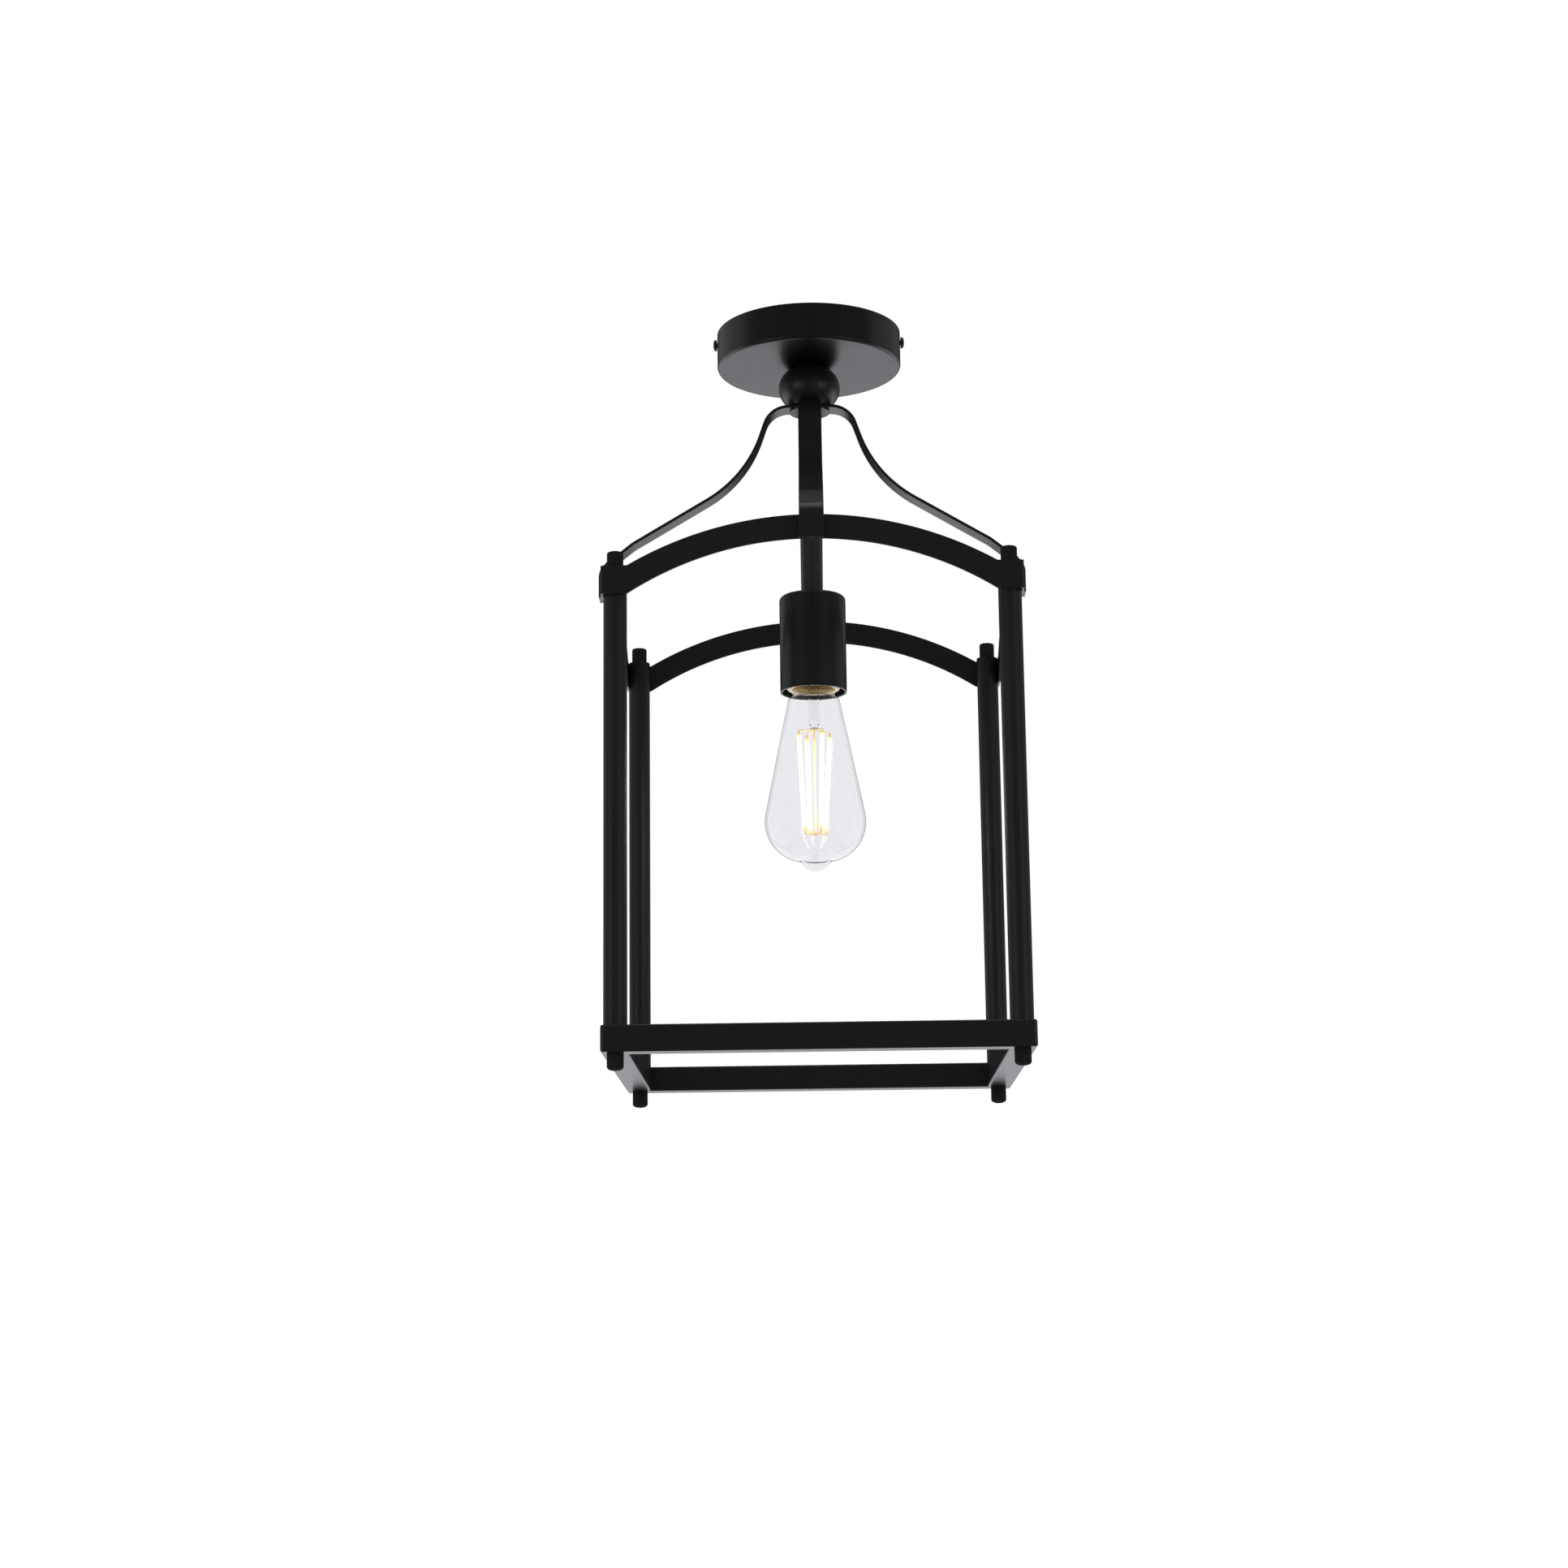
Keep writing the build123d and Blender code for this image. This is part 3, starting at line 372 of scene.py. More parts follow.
def new_material(name, metallic=0.0):
    material = bpy.data.materials.new(name)
    material.use_nodes = True
    shader = material.node_tree.nodes["Principled BSDF"]
    shader.inputs["Metallic"].default_value = metallic
    return material, material.node_tree, shader


def link_span(tree, value, low, high, socket):
    """Feeds a socket with a 0 to 1 value mapped to low to high."""
    span = tree.nodes.new("ShaderNodeMapRange")
    span.inputs["To Min"].default_value = low
    span.inputs["To Max"].default_value = high
    tree.links.new(value, span.inputs["Value"])
    tree.links.new(span.outputs["Result"], socket)


def link_tones(tree, value, dark, light, socket):
    mix = tree.nodes.new("ShaderNodeMix")
    mix.data_type = "RGBA"
    mix.inputs["A"].default_value = (*dark, 1)
    mix.inputs["B"].default_value = (*light, 1)
    tree.links.new(value, mix.inputs["Factor"])
    tree.links.new(mix.outputs["Result"], socket)


def link_bump(tree, height, strength, distance, shader):
    bump = tree.nodes.new("ShaderNodeBump")
    bump.inputs["Strength"].default_value = strength
    bump.inputs["Distance"].default_value = distance
    tree.links.new(height, bump.inputs["Height"])
    tree.links.new(bump.outputs["Normal"], shader.inputs["Normal"])


def mix_shaders(tree, share, first, second):
    """The first shader where the share is 0, the second where it is 1."""
    mix = tree.nodes.new("ShaderNodeMixShader")
    tree.links.new(share, mix.inputs["Fac"])
    tree.links.new(first.outputs[0], mix.inputs[1])
    tree.links.new(second.outputs[0], mix.inputs[2])
    return mix


def ray_mask(tree, kinds):
    """1 for rays of any of these kinds, otherwise 0."""
    path = tree.nodes.new("ShaderNodeLightPath")
    total = path.outputs[kinds[0]]
    for kind in kinds[1:]:
        total = maths(tree, "MAXIMUM", total, path.outputs[kind])
    return total


def shade(color, factor):
    return tuple(min(1.0, channel * factor) for channel in color)


def coat_material(name, color, roughness, gloss=0.5):
    material, tree, shader = new_material(name)
    grain = place_group(tree, "powder_grain", Grain=1900.0, Cloud=24.0)
    gloss_cloud = grain.outputs["Gloss"]
    link_tones(tree, gloss_cloud, shade(color, 0.9), shade(color, 1.12), shader.inputs["Base Color"])
    link_span(tree, gloss_cloud, roughness - 0.04, roughness + 0.05, shader.inputs["Roughness"])
    link_bump(tree, grain.outputs["Height"], 0.12, 0.00008, shader)
    shader.inputs["Specular IOR Level"].default_value = gloss
    return material


def metal_material(name, color, roughness, lines=900.0, metallic=1.0):
    material, tree, shader = new_material(name, metallic)
    drawn = place_group(tree, "drawn_lines", Lines=lines, Patches=70.0)
    patch, height = drawn.outputs["Patch"], drawn.outputs["Height"]
    link_tones(tree, patch, shade(color, 0.86), shade(color, 1.1), shader.inputs["Base Color"])
    link_span(tree, height, roughness - 0.08, roughness + 0.1, shader.inputs["Roughness"])
    link_bump(tree, height, 0.1, 0.00005, shader)
    return material


def threaded_material(name, color, roughness, pitch):
    material, tree, shader = new_material(name, 1.0)
    drawn = place_group(tree, "drawn_lines", Lines=600.0, Patches=90.0)
    thread = place_group(tree, "cut_thread", Turns_per_metre=1.0 / pitch)
    patch, height = drawn.outputs["Patch"], thread.outputs["Height"]
    link_tones(tree, patch, shade(color, 0.85), shade(color, 1.08), shader.inputs["Base Color"])
    link_span(tree, height, roughness + 0.12, roughness - 0.05, shader.inputs["Roughness"])
    link_bump(tree, height, 0.8, pitch * 0.4, shader)
    return material


def moulded_material(name, color, roughness, grain=1200.0):
    material, tree, shader = new_material(name)
    skin = place_group(tree, "speckle", Size=grain, Amount=0.42)
    link_tones(tree, skin.outputs["Mask"], color, shade(color, 0.82), shader.inputs["Base Color"])
    link_span(tree, skin.outputs["Height"], roughness - 0.05, roughness + 0.06, shader.inputs["Roughness"])
    link_bump(tree, skin.outputs["Height"], 0.1, 0.00006, shader)
    return material


def glass_material(name, tint):
    """Clear glass; light from the filaments passes straight through it."""
    material, tree, shader = new_material(name)
    shader.inputs["Base Color"].default_value = (*tint, 1)
    shader.inputs["Roughness"].default_value = 0.0
    shader.inputs["IOR"].default_value = GLASS_IOR
    shader.inputs["Transmission Weight"].default_value = 1.0
    waves = place_group(tree, "powder_grain", Grain=260.0, Cloud=12.0)
    link_bump(tree, waves.outputs["Gloss"], 0.015, 0.001, shader)
    light = ray_mask(tree, ["Is Shadow Ray", "Is Diffuse Ray"])
    surface = mix_shaders(tree, light, shader, tree.nodes.new("ShaderNodeBsdfTransparent"))
    tree.links.new(surface.outputs[0], tree.nodes["Material Output"].inputs["Surface"])
    return material


def filament_material(name, glow):
    """Phosphor stick: white hot along the middle and amber at both ends."""
    low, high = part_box("bulb_filaments")
    material, tree, shader = new_material(name)
    along = tree.nodes.new("ShaderNodeMapRange")
    along.inputs["From Min"].default_value = low.z
    along.inputs["From Max"].default_value = high.z
    tree.links.new(axis_value(tree, object_place(tree), "Z"), along.inputs["Value"])
    ramp = tree.nodes.new("ShaderNodeValToRGB")
    ember, amber, hot = (0.75, 0.3, 0.03, 1), (1.0, 0.62, 0.18, 1), (1.0, 0.9, 0.66, 1)
    stops = [(0.0, ember), (0.07, amber), (0.16, hot), (0.84, hot), (0.93, amber), (1.0, ember)]
    while len(ramp.color_ramp.elements) < len(stops):
        ramp.color_ramp.elements.new(0.5)
    for element, (position, color) in zip(ramp.color_ramp.elements, stops):
        element.position = position
        element.color = color
    tree.links.new(along.outputs["Result"], ramp.inputs["Fac"])
    tree.links.new(ramp.outputs["Color"], shader.inputs["Emission Color"])
    tree.links.new(ramp.outputs["Color"], shader.inputs["Base Color"])
    shader.inputs["Emission Strength"].default_value = glow
    shader.inputs["Roughness"].default_value = 0.5
    return material


def dress(names, material):
    for name in names:
        mesh = nodes[name].data
        mesh.materials.clear()
        mesh.materials.append(material)


# Meshes


def turned_mesh(name, rows, segments, loop=False):
    """Mesh turned about Z. Each row is (radius, height), or a function of the angle that gives them.

    Rows run down the outside and, for a loop, up the inside, so that faces point outward.
    """
    mesh = bpy.data.meshes.new(name)
    shape = bmesh.new()
    rings = []
    for row in rows:
        at = row if callable(row) else None
        if at is None and row[0] < 1e-7:
            rings.append([shape.verts.new((0, 0, row[1]))])
            continue
        ring = []
        for step in range(segments):
            angle = 2 * pi * step / segments
            radius, height = at(angle) if at else row
            ring.append(shape.verts.new((radius * cos(angle), radius * sin(angle), height)))
        rings.append(ring)
    pairs = list(zip(rings, rings[1:]))
    if loop:
        pairs.append((rings[-1], rings[0]))
    for upper, lower in pairs:
        for step in range(segments):
            after = (step + 1) % segments
            corners = [
                upper[step % len(upper)],
                lower[step % len(lower)],
                lower[after % len(lower)],
                upper[after % len(upper)],
            ]
            unique = list(dict.fromkeys(corners))
            if len(unique) > 2:
                shape.faces.new(unique)
    shape.to_mesh(mesh)
    shape.free()
    return mesh


def add_piece(name, mesh, material, body, replaced, sharp=35.0):
    """Puts a mesh in the scene as a piece that rides on a body and stands for CAD nodes."""
    for polygon in mesh.polygons:
        polygon.use_smooth = True
    mesh.set_sharp_from_angle(angle=radians(sharp))
    mesh.materials.clear()
    mesh.materials.append(material)
    piece = bpy.data.objects.new(name, mesh)
    bpy.context.scene.collection.objects.link(piece)
    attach(piece, body)
    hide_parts(*replaced)


def join_meshes(name, parts):
    """One mesh from several (mesh, matrix) pairs."""
    shape = bmesh.new()
    for mesh, matrix in parts:
        copy = mesh.copy()
        copy.transform(matrix)
        shape.from_mesh(copy)
        bpy.data.meshes.remove(copy)
    joined = bpy.data.meshes.new(name)
    shape.to_mesh(joined)
    shape.free()
    return joined


def cut_mesh(mesh, cutters):
    """The mesh with box-shaped cutters, each (size, middle), taken out of it."""
    target = bpy.data.objects.new("cut_target", mesh)
    bpy.context.scene.collection.objects.link(target)
    tools = []
    for size, middle in cutters:
        shape = bmesh.new()
        bmesh.ops.create_cube(shape, size=1.0)
        bmesh.ops.scale(shape, vec=size, verts=shape.verts)
        bmesh.ops.translate(shape, vec=middle, verts=shape.verts)
        box = bpy.data.meshes.new("cut_tool")
        shape.to_mesh(box)
        shape.free()
        tool = bpy.data.objects.new("cut_tool", box)
        bpy.context.scene.collection.objects.link(tool)
        tools.append(tool)
        modifier = target.modifiers.new("cut", "BOOLEAN")
        modifier.operation = "DIFFERENCE"
        modifier.object = tool
    bpy.context.view_layer.update()
    graph = bpy.context.evaluated_depsgraph_get()
    result = bpy.data.meshes.new_from_object(target.evaluated_get(graph))
    for item in tools + [target]:
        bpy.data.objects.remove(item)
    return result


def thread_rows(inner, depth, pitch, top, foot, fade):
    """Rows from top to foot whose radius follows a right-handed thread that fades at both ends."""
    rows_per_turn = 10
    count = max(2, int((top - foot) / pitch * rows_per_turn))
    rows = []
    for step in range(count + 1):
        height = top + (foot - top) * step / count
        share = min(1.0, (top - height) / fade, (height - foot) / fade)

        def at(angle, height=height, share=share):
            turn = height / pitch - angle / (2 * pi)
            return inner + depth * share * (0.5 + 0.5 * cos(2 * pi * turn)), height

        rows.append(at)
    return rows


def arc_points(middle, radius, start, end, steps):
    """Points on an arc from start to end, both in radians, in the half section."""
    angles = [start + (end - start) * step / steps for step in range(steps + 1)]
    return [(middle[0] + radius * cos(a), middle[1] + radius * sin(a)) for a in angles]


def rounded_corner(before, corner, after, radius, steps):
    """Points of a corner of the half section, rounded with a radius."""
    a, b, c = Vector(before), Vector(corner), Vector(after)
    back, forth = (a - b).normalized(), (c - b).normalized()
    half = acos(max(-1.0, min(1.0, back.dot(forth)))) / 2
    middle = b + (back + forth).normalized() * (radius / sin(half))
    first = b + back * (radius / (sin(half) / cos(half)))
    last = b + forth * (radius / (sin(half) / cos(half)))
    start = atan2(first.y - middle.y, first.x - middle.x)
    end = atan2(last.y - middle.y, last.x - middle.x)
    if end - start > pi:
        end -= 2 * pi
    if start - end > pi:
        end += 2 * pi
    return arc_points(middle, radius, start, end, steps)


def inset_profile(points, wall):
    """The inner face of a wall under an outer face that runs down from the axis to the axis."""
    inner = []
    for index, point in enumerate(points):
        before = points[max(0, index - 1)]
        after = points[min(len(points) - 1, index + 1)]
        run = Vector(after) - Vector(before)
        outward = Vector((-run.y, run.x)).normalized()
        inner.append((max(0.0, point[0] - outward.x * wall), point[1] - outward.y * wall))
    return inner


# Operators


class LANTERN_OT_coat(bpy.types.Operator):
    """Give the canopy, straps, cage and socket cup their satin black coat"""

    bl_idname = "lantern.coat"
    bl_label = "Black coat"

    def execute(self, context):
        finish = context.scene.lantern_finish
        color, rough = tuple(finish.coat), finish.coat_roughness
        dress(COATED, coat_material("satin_black_coat", color, rough))
        dress(["canopy"], coat_material("canopy_coat", shade(color, 0.25), rough + 0.05, 0.61))
        dress(NECK, coat_material("neck_coat", color, rough + 0.08, 0.52))
        # The stem takes the same black coat made 2.4 times lighter. This is painted light: it stands in for
        # the brighter look the thin stem has next to the lit bulb, not for a paint of its own.
        dress(["stem_tube"], coat_material("stem_coat", shade(color, 2.4), rough))
        dress(POSTS, coat_material("post_coat", color, rough + 0.16, 0.46))
        cap_coat = coat_material("cap_nut_coat", tuple(finish.cap_nut), NUT_ROUGHNESS, NUT_GLOSS)
        dress(["top_finials"], cap_coat)
        return {"FINISHED"}


class LANTERN_OT_hardware(bpy.types.Operator):
    """Give plated steel, threads, leads and the ground screw their finishes"""

    bl_idname = "lantern.hardware"
    bl_label = "Hidden hardware"

    def execute(self, context):
        finish = context.scene.lantern_finish
        zinc = tuple(finish.zinc)
        dress(PLATED, metal_material("zinc_plate", zinc, 0.34))
        dress(THREADED, threaded_material("threaded_zinc", zinc, 0.32, 0.001))
        dress(["corner_set_screws"], metal_material("dark_steel", (0.2, 0.2, 0.2), 0.4))
        dress(["ground_screw"], metal_material("green_plate", (0.03, 0.2, 0.06), 0.38))
        dress(["ground_lead"], metal_material("bare_copper", tuple(finish.copper), 0.3))
        dress(["lead_black"], moulded_material("black_insulation", (0.012, 0.012, 0.012), 0.5))
        dress(["lead_white"], moulded_material("white_insulation", (0.74, 0.73, 0.7), 0.5))
        return {"FINISHED"}


class LANTERN_OT_screws(bpy.types.Operator):
    """Make the canopy's side screws and the straps' screws with slotted heads and threads"""

    bl_idname = "lantern.screws"
    bl_label = "Screws"

    def screw_mesh(self, name, head_r, head_h, shank_l, domed, recess):
        """A screw along +Z: the head above zero, the thread below it."""
        dome = [(head_r * sin(t), head_h * (1 - domed) + head_h * domed * cos(t))
                for t in (radians(angle) for angle in range(0, 91, 10))]
        rows = [*dome, (head_r, 0.0), (SHANK_R * 0.8, 0.0), (SHANK_R * 0.8, -SCREW_UNDERCUT)]
        foot = -shank_l + SCREW_POINT
        rows += thread_rows(SHANK_R * 0.82, SHANK_R * 0.17, SCREW_PITCH, -SCREW_UNDERCUT, foot, SCREW_FADE)
        rows += [(SHANK_R * 0.6, -shank_l), (0.0, -shank_l)]
        mesh = turned_mesh(name, rows, 32)
        deep = head_h * RECESS_SHARE
        middle = (0, 0, head_h - deep / 2 + CUTTER_OVER / 2)
        return cut_mesh(mesh, [(size, middle) for size in recess(head_r, deep + CUTTER_OVER)])

    def execute(self, context):
        finish = context.scene.lantern_finish
        coat = coat_material("screw_coat", tuple(finish.coat), finish.coat_roughness)

        def slot(head_r, deep):
            return [(head_r * 3, RECESS_W, deep)]

        def cross(head_r, deep):
            return [(head_r * 1.1, RECESS_W, deep), (RECESS_W, head_r * 1.1, deep)]

        for side, way in (("left", -1), ("right", 1)):
            low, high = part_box(f"canopy_screw_{side}")
            head_r = (high.z - low.z) / 2
            seat = max(abs(low.x), abs(high.x)) - SIDE_HEAD_H
            mesh = self.screw_mesh("side_screw", head_r, SIDE_HEAD_H, SIDE_SHANK_L, SIDE_DOME, slot)
            place = Matrix.Translation((way * seat, 0, (low.z + high.z) / 2))
            mesh.transform(place @ Matrix.Rotation(way * pi / 2, 4, "Y"))
            add_piece(f"side_screw_{side}", mesh, coat, f"{side}_side_screw",
                      [f"canopy_screw_{side}"])
        low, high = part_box("strap_screws")
        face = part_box("arch_front")[1].y
        head_r = (high.z - low.z) / 2
        one = self.screw_mesh("strap_screw", head_r, STRAP_HEAD_H, high.y + face, STRAP_DOME, cross)
        place = Matrix.Translation((0, face, (low.z + high.z) / 2)) @ Matrix.Rotation(-pi / 2, 4, "X")
        parts = [(one, Matrix.Rotation(turn * pi / 2, 4, "Z") @ place) for turn in range(4)]
        add_piece("strap_screw_set", join_meshes("strap_screw_set", parts), coat, "fixture",
                  ["strap_screws"])
        return {"FINISHED"}


class LANTERN_OT_cap_nuts(bpy.types.Operator):
    """Make the four bottom cap nuts with their domed ends"""

    bl_idname = "lantern.cap_nuts"
    bl_label = "Bottom cap nuts"

    def execute(self, context):
        finish = context.scene.lantern_finish
        low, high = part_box("bottom_finials")
        near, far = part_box("post_back_right")
        corner = (near.x + far.x) / 2
        radius = high.x - corner
        dome = context.scene.lantern_shape.cap_dome
        rows = [(0.0, high.z), (radius, high.z)]
        rows += [(NUT_FLAT_R + (radius - NUT_FLAT_R) * cos(t), low.z + dome * (1 - sin(t)))
                 for t in (radians(angle) for angle in range(0, 91, 6))]
        rows.append((0.0, low.z))
        one = turned_mesh("cap_nut", rows, 48)
        parts = [(one, Matrix.Translation((x * corner, y * corner, 0))) for x in (-1, 1) for y in (-1, 1)]
        coat = coat_material("bottom_cap_nut_coat", tuple(finish.cap_nut), NUT_ROUGHNESS, NUT_GLOSS)
        add_piece("bottom_cap_nuts", join_meshes("bottom_cap_nuts", parts), coat, "fixture",
                  ["bottom_finials"])
        return {"FINISHED"}


class LANTERN_OT_holder(bpy.types.Operator):
    """Make the lamp holder's threaded brass shell, and finish its porcelain and terminals"""

    bl_idname = "lantern.holder"
    bl_label = "Lamp holder"

    def execute(self, context):
        finish, shape = context.scene.lantern_finish, context.scene.lantern_shape
        brass = metal_material("holder_brass", tuple(finish.brass), 0.45, 700.0, 0.4)
        dress(["socket_contact", "socket_terminals"], brass)
        porcelain = moulded_material("cream_porcelain", tuple(finish.porcelain), 0.42, 900.0)
        dress(["socket_body"], porcelain)
        low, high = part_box("socket_shell")
        outer = (high.x - low.x) / 2
        crest = outer - shape.sheet - shape.thread_depth * 0.8
        depth, pitch = shape.thread_depth * 0.75, shape.thread_pitch
        outside = thread_rows(crest + shape.sheet, depth, pitch, high.z, low.z, SHELL_FADE)
        inside = thread_rows(crest, depth, pitch, high.z, low.z, SHELL_FADE)
        mesh = turned_mesh("holder_shell", outside + inside[::-1], 72, loop=True)
        add_piece("holder_shell", mesh, brass, "fixture", ["socket_shell"])
        return {"FINISHED"}


class LANTERN_OT_connectors(bpy.types.Operator):
    """Make the ribbed twist-on wire connectors in the canopy"""

    bl_idname = "lantern.connectors"
    bl_label = "Wire connectors"

    def execute(self, context):
        finish, shape = context.scene.lantern_finish, context.scene.lantern_shape
        plastic = moulded_material("connector_plastic", tuple(finish.connector), 0.32)
        low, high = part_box("wire_connectors")
        mouth_r = (high.y - low.y) / 2
        axis_z = (low.z + high.z) / 2
        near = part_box("lead_white")[1].x - LEAD_OVERLAP
        length = high.x - near

        def ribbed(share, radius):
            def at(angle):
                grip = sin(pi * share) * RIB_DEPTH
                return radius * (1 - grip * (0.5 + 0.5 * cos(shape.ribs * angle))), length * share

            return at

        rows = [(0.0, length), (mouth_r * 0.45, length), (mouth_r * 0.66, length - CONNECTOR_EDGE)]
        shares = [step / CONNECTOR_ROWS for step in range(1, CONNECTOR_ROWS - 2)]
        rows += [ribbed(1 - share, mouth_r * (0.72 + 0.24 * share)) for share in shares]
        rows += [(mouth_r, length * 0.14), (mouth_r, 0.0)]
        rows += [(LEAD_BORE_R, 0.0), (LEAD_BORE_R, LEAD_BORE_L), (0.0, LEAD_BORE_L)]
        one = turned_mesh("connector", rows, shape.ribs * 6)
        parts = []
        for way in (-1, 1):
            turn = Matrix.Rotation(way * pi / 2, 4, "Y")
            parts.append((one, Matrix.Translation((way * near, 0, axis_z)) @ turn))
        add_piece("connector_pair", join_meshes("connector_pair", parts), plastic, "fixture",
                  ["wire_connectors"])
        return {"FINISHED"}


class LANTERN_OT_bulb(bpy.types.Operator):
    """Make the bulb's glass and threaded cap, and finish its filaments"""

    bl_idname = "lantern.bulb"
    bl_label = "Bulb"

    def glass_profile(self, shape):
        """Outer half section of the glass, from the axis at the top down to the axis at the tip."""
        low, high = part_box("bulb_glass")
        cup_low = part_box("socket_cup")[0].z
        widest_r = max(high.x, high.y)
        round_x = widest_r - shape.shoulder
        bend_x = (shape.nub + NUB_BEND_R) * cos(NUB_LEAN)
        reach = shape.shoulder + NUB_BEND_R
        nub_z = low.z + shape.nub
        bend_z = nub_z - (shape.nub + NUB_BEND_R) * sin(NUB_LEAN)
        widest = bend_z + sqrt(reach**2 - (bend_x - round_x) ** 2)
        flare = (FLARE_R, cup_low - FLARE_DOWN)
        neck = (GLASS_NECK_R, cup_low + GLASS_NECK_UP)
        far = Vector((flare[0] - round_x, flare[1] - widest))
        touch = atan2(far.y, far.x) - acos(shape.shoulder / far.length)
        meet = atan2(bend_z - widest, bend_x - round_x)
        joint = (round_x + shape.shoulder * cos(touch), widest + shape.shoulder * sin(touch))
        points = [(0.0, high.z), (GLASS_NECK_R - GLASS_NECK_EDGE, high.z)]
        points.append((GLASS_NECK_R, high.z - GLASS_NECK_EDGE))
        points += rounded_corner(points[-1], neck, flare, GLASS_NECK_BEND_R, 6)
        points += rounded_corner(neck, flare, joint, FLARE_BEND_R, 6)
        points += [tuple(Vector(points[-1]).lerp(Vector(joint), share / 12)) for share in range(1, 12)]
        points += arc_points((round_x, widest), shape.shoulder, touch, meet, 40)
        points += arc_points((bend_x, bend_z), NUB_BEND_R, meet + pi, pi - NUB_LEAN, 8)[1:]
        points += arc_points((0.0, nub_z), shape.nub, -NUB_LEAN, -pi / 2, 14)[1:]
        points[-1] = (0.0, points[-1][1])
        return points

    def execute(self, context):
        finish, shape = context.scene.lantern_finish, context.scene.lantern_shape
        clear = glass_material("bulb_clear_glass", (0.905, 0.905, 0.925))
        outer = self.glass_profile(shape)
        inner = inset_profile(outer, shape.glass_wall)
        parts = [(turned_mesh("outer_face", outer, 128), Matrix.Identity(4)),
                 (turned_mesh("inner_face", inner[::-1], 128), Matrix.Identity(4))]
        add_piece("bulb_envelope", join_meshes("bulb_envelope", parts), clear, "bulb",
                  ["bulb_glass"], sharp=60.0)
        dress(["bulb_mount"], glass_material("mount_glass", (0.96, 0.96, 0.965)))

        brass = metal_material("cap_brass", tuple(finish.brass), 0.4, 700.0, 0.75)
        low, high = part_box("bulb_cap")
        crest = (high.x - low.x) / 2
        root = crest - shape.thread_depth
        skirt = high.z - CAP_SKIRT_H
        rim = skirt + CAP_SKIRT_RISE
        outside = [(CAP_MOUTH_R, high.z), (root - CAP_SKIRT_IN, rim), (root, skirt - CAP_SKIRT_DOWN)]
        top, foot = skirt - CAP_THREAD_TOP, low.z + CAP_THREAD_FOOT
        outside += thread_rows(root, shape.thread_depth, shape.thread_pitch, top, foot, CAP_THREAD_FADE)
        outside += [(root, low.z + CAP_RIM_H), (root, low.z)]
        thin = shape.sheet
        inside = [(CAP_MOUTH_R - thin, high.z - thin), (root - thin - CAP_SKIRT_IN, rim - thin)]
        inside += [(root - thin, skirt - CAP_INSIDE_DOWN), (root - thin, low.z)]
        mesh = turned_mesh("bulb_screw_cap", outside + inside[::-1], 72, loop=True)
        add_piece("bulb_screw_cap", mesh, brass, "bulb", ["bulb_cap"])

        dress(["bulb_insulator"], moulded_material("black_vitrite", (0.01, 0.01, 0.012), 0.18))
        dress(["bulb_tip"], metal_material("tin_solder", (0.55, 0.55, 0.54), 0.4))
        dress(["bulb_driver"], moulded_material("circuit_board", (0.03, 0.16, 0.05), 0.45))
        dress(["bulb_wires"], metal_material("gilt_wire", (0.92, 0.74, 0.4), 0.35))
        dress(["bulb_filaments"], filament_material("lit_filament", finish.glow))
        return {"FINISHED"}


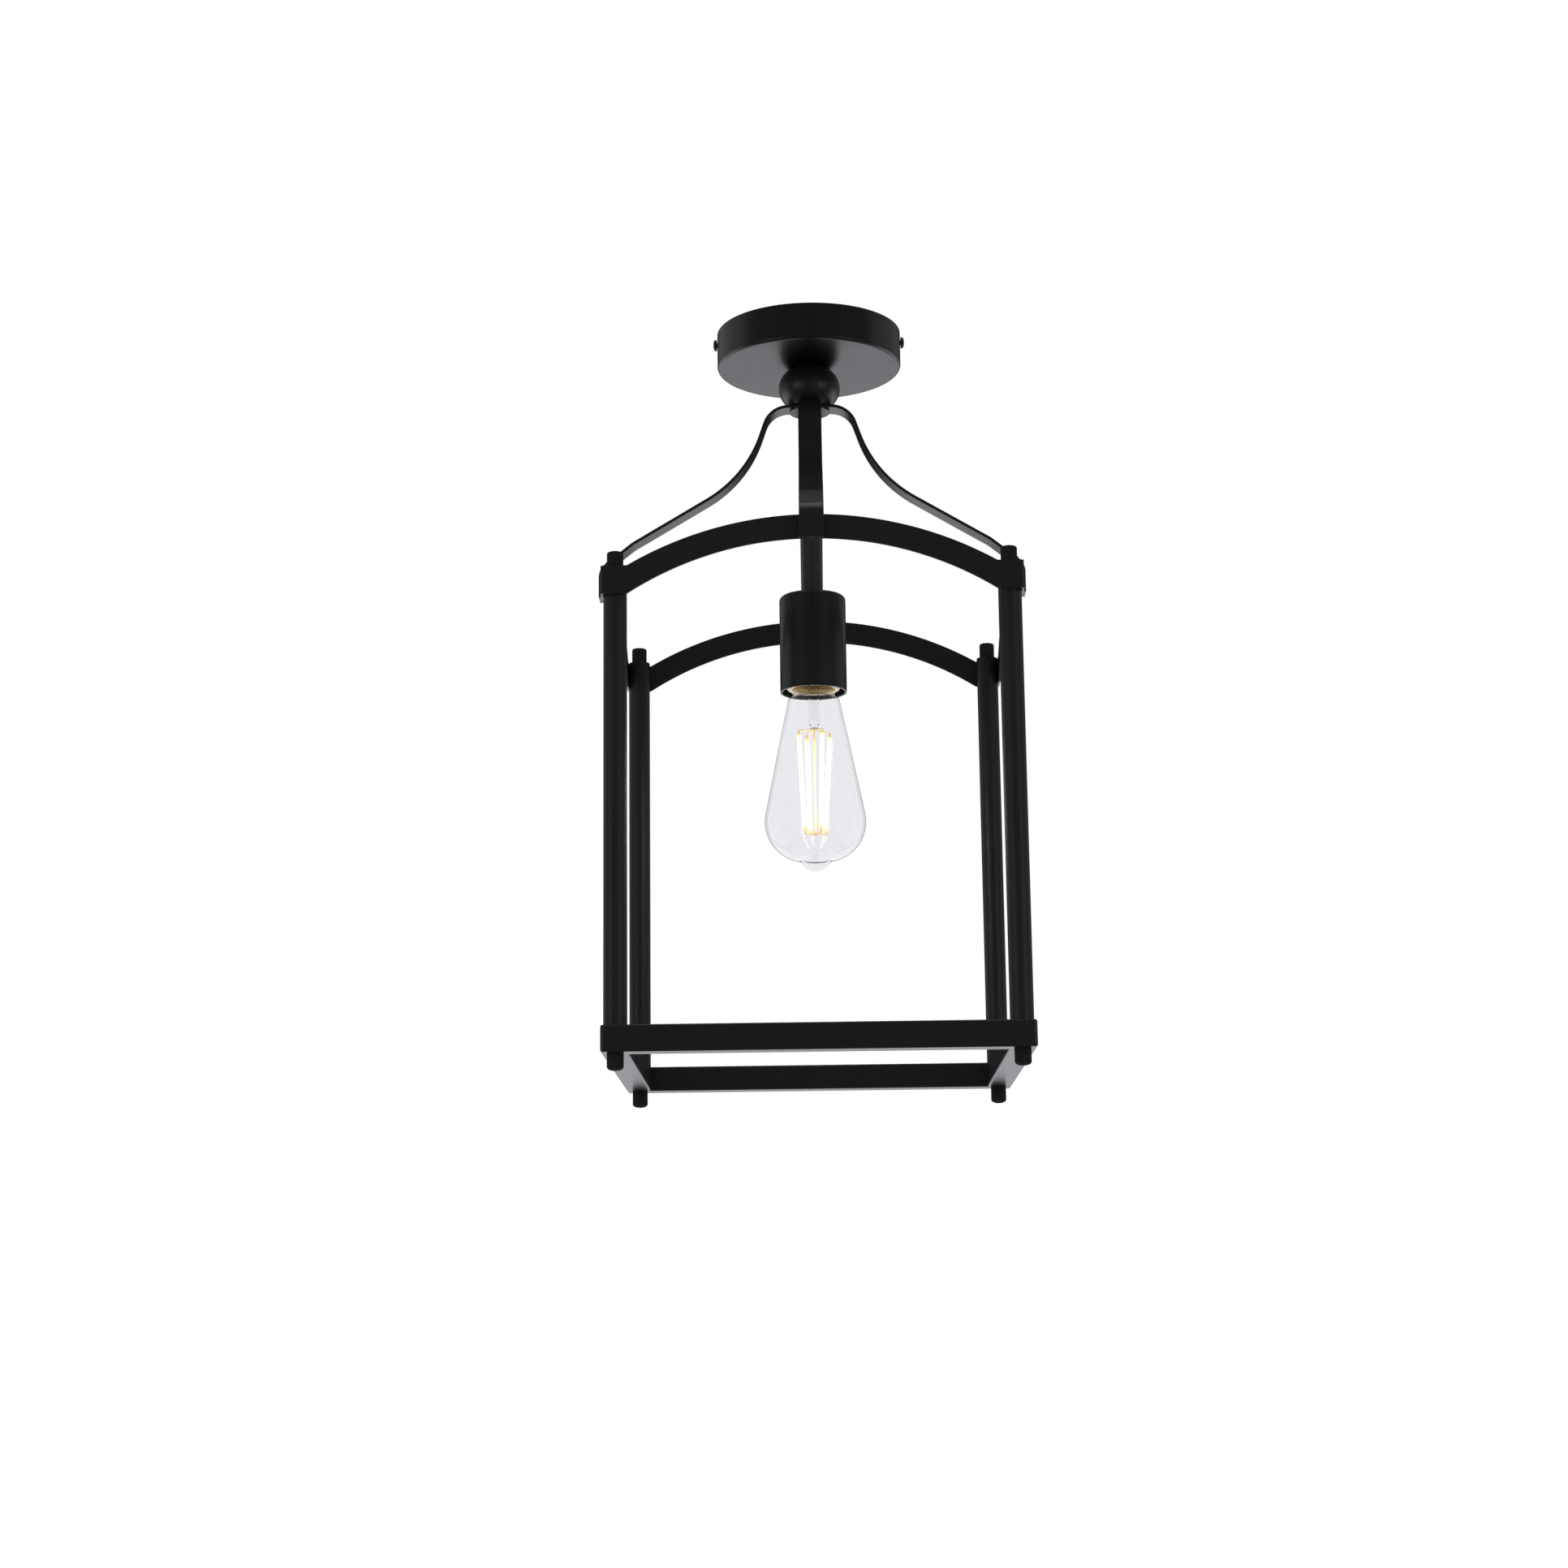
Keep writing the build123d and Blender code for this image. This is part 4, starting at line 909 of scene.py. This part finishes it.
class LANTERN_OT_stage(bpy.types.Operator):
    """Set up the floor, soft light, white background and camera"""

    bl_idname = "lantern.stage"
    bl_label = "Studio"

    def soft_step(self, tree, value, start, end, low, high=1.0):
        """A smooth rise from low at start to high at end."""
        step = tree.nodes.new("ShaderNodeMapRange")
        step.interpolation_type = "SMOOTHSTEP"
        step.inputs["From Min"].default_value = start
        step.inputs["From Max"].default_value = end
        step.inputs["To Min"].default_value = low
        step.inputs["To Max"].default_value = high
        tree.links.new(value, step.inputs["Value"])
        return step.outputs["Result"]

    def make_floor(self, stage):
        """A pale floor, clear from underneath; gloss shows it white behind and dim in front."""
        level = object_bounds()[0][2] - stage.drop
        shape = bmesh.new()
        bmesh.ops.create_circle(shape, cap_ends=True, segments=96, radius=FLOOR_R)
        bmesh.ops.translate(shape, vec=(0, 0, level), verts=shape.verts)
        mesh = bpy.data.meshes.new("studio_floor")
        shape.to_mesh(mesh)
        shape.free()
        floor = bpy.data.objects.new("studio_floor", mesh)
        bpy.context.scene.collection.objects.link(floor)
        floor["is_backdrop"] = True
        material, tree, shader = new_material("studio_floor_paint")
        shader.inputs["Base Color"].default_value = (*stage.floor, 1)
        shader.inputs["Roughness"].default_value = 0.9
        shader.inputs["Specular IOR Level"].default_value = 0.1
        glow = tree.nodes.new("ShaderNodeEmission")
        depth = axis_value(tree, object_place(tree), "Y")
        behind = self.soft_step(tree, depth, 0.0, stage.drop, stage.front_room, stage.floor_shine)
        straight = ray_mask(tree, STRAIGHT_RAYS)
        white = maths(tree, "MULTIPLY", straight, FLOOR_WHITE)
        mirrored = maths(tree, "MULTIPLY", maths(tree, "SUBTRACT", 1.0, straight), behind)
        tree.links.new(maths(tree, "ADD", white, mirrored), glow.inputs["Strength"])
        link_tones(tree, straight, tuple(stage.floor_gloss), (1, 1, 1), glow.inputs["Color"])
        seen = maths(tree, "MULTIPLY", straight, FLOOR_SEEN)
        shown = maths(tree, "MAXIMUM", seen, ray_mask(tree, ["Is Glossy Ray"]))
        top_face = mix_shaders(tree, shown, shader, glow)
        away = tree.nodes.new("ShaderNodeNewGeometry").outputs["Backfacing"]
        surface = mix_shaders(tree, away, top_face, tree.nodes.new("ShaderNodeBsdfTransparent"))
        tree.links.new(surface.outputs[0], tree.nodes["Material Output"].inputs["Surface"])
        mesh.materials.append(material)

    def make_world(self, stage):
        """White for the camera and the glass; gloss shows white behind and below, and a dim room."""
        world = bpy.data.worlds.new("studio_world")
        world.use_nodes = True
        tree = world.node_tree
        soft = tree.nodes["Background"]
        soft.inputs["Color"].default_value = FILL_COLOR
        soft.inputs["Strength"].default_value = stage.fill
        toward = tree.nodes.new("ShaderNodeTexCoord").outputs["Generated"]
        behind = self.soft_step(tree, axis_value(tree, toward, "Y"), 0.0, 0.4, 0.0)
        height = axis_value(tree, toward, "Z")
        below = self.soft_step(tree, height, 0.05, -0.25, stage.back_room, stage.floor_shine)
        front = maths(tree, "MULTIPLY", maths(tree, "SUBTRACT", 1.0, behind), stage.front_room)
        room = maths(tree, "ADD", front, maths(tree, "MULTIPLY", behind, below))
        straight = ray_mask(tree, STRAIGHT_RAYS)
        mirrored = maths(tree, "MULTIPLY", maths(tree, "SUBTRACT", 1.0, straight), room)
        backdrop = tree.nodes.new("ShaderNodeBackground")
        link_tones(tree, straight, tuple(stage.floor_gloss), (1, 1, 1), backdrop.inputs["Color"])
        tree.links.new(maths(tree, "ADD", straight, mirrored), backdrop.inputs["Strength"])
        shown = ray_mask(tree, STRAIGHT_RAYS + ["Is Glossy Ray"])
        surface = mix_shaders(tree, shown, soft, backdrop)
        tree.links.new(surface.outputs[0], tree.nodes["World Output"].inputs["Surface"])
        bpy.context.scene.world = world

    def make_light(self, name, place, target, size, power):
        lamp = bpy.data.lights.new(name, "AREA")
        lamp.shape = "RECTANGLE"
        lamp.size, lamp.size_y = size
        lamp.energy = power
        light = bpy.data.objects.new(name, lamp)
        light.location = place
        aim = Vector(target) - Vector(place)
        light.rotation_euler = aim.to_track_quat("-Z", "Y").to_euler()
        bpy.context.scene.collection.objects.link(light)

    def make_camera(self):
        base = Matrix(((1, 0, 0), (0, 0, -1), (0, 1, 0)))
        turn_x = Matrix.Rotation(CAMERA_PITCH, 3, "X")
        turn_y = Matrix.Rotation(CAMERA_YAW, 3, "Y")
        turn_z = Matrix.Rotation(CAMERA_ROLL, 3, "Z")
        rows = turn_z @ turn_x @ turn_y @ base
        columns = Matrix((rows[0], -rows[1], -rows[2])).transposed()
        lens = bpy.data.cameras.new("photo_camera")
        lens.sensor_width = CAMERA_SENSOR
        lens.lens = CAMERA_LENS
        lens.clip_start = 0.01
        camera = bpy.data.objects.new("photo_camera", lens)
        camera.matrix_world = Matrix.Translation(CAMERA_PLACE) @ columns.to_4x4()
        bpy.context.scene.collection.objects.link(camera)
        bpy.context.scene.camera = camera

    def execute(self, context):
        stage = context.scene.lantern_stage
        context.scene.view_settings.view_transform = "Standard"
        self.make_floor(stage)
        self.make_world(stage)
        for name, place, aim, size, power in SOFTBOXES:
            self.make_light(name, place, aim, size, getattr(stage, power))
        self.make_camera()
        return {"FINISHED"}


class LANTERN_PT_pieces(bpy.types.Panel):
    """Finishes and pieces of the lantern"""

    bl_idname = "LANTERN_PT_pieces"
    bl_label = "Lantern"
    bl_space_type = "VIEW_3D"
    bl_region_type = "UI"
    bl_category = "Lantern"

    def draw(self, context):
        for holder in GROUPS:
            group = getattr(context.scene, holder)
            box = self.layout.box()
            for name in group.__annotations__:
                box.prop(group, name)
        for operator in OPERATORS:
            self.layout.operator(operator.bl_idname)


OPERATORS = (
    LANTERN_OT_coat,
    LANTERN_OT_hardware,
    LANTERN_OT_screws,
    LANTERN_OT_cap_nuts,
    LANTERN_OT_holder,
    LANTERN_OT_connectors,
    LANTERN_OT_bulb,
    LANTERN_OT_stage,
)
GROUPS = {"lantern_finish": LanternFinish, "lantern_shape": LanternShape, "lantern_stage": LanternStage}


def register():
    for item in (*GROUPS.values(), *OPERATORS, LANTERN_PT_pieces):
        bpy.utils.register_class(item)
    for name, group in GROUPS.items():
        setattr(bpy.types.Scene, name, bpy.props.PointerProperty(type=group))


def unregister():
    for name in GROUPS:
        delattr(bpy.types.Scene, name)
    for item in (LANTERN_PT_pieces, *reversed(OPERATORS), *GROUPS.values()):
        bpy.utils.unregister_class(item)


def main():
    register()
    bpy.ops.lantern.coat()
    bpy.ops.lantern.hardware()
    bpy.ops.lantern.screws()
    bpy.ops.lantern.cap_nuts()
    bpy.ops.lantern.holder()
    bpy.ops.lantern.connectors()
    bpy.ops.lantern.bulb()
    bpy.ops.lantern.stage()


if __name__ == "__main__":
    main()
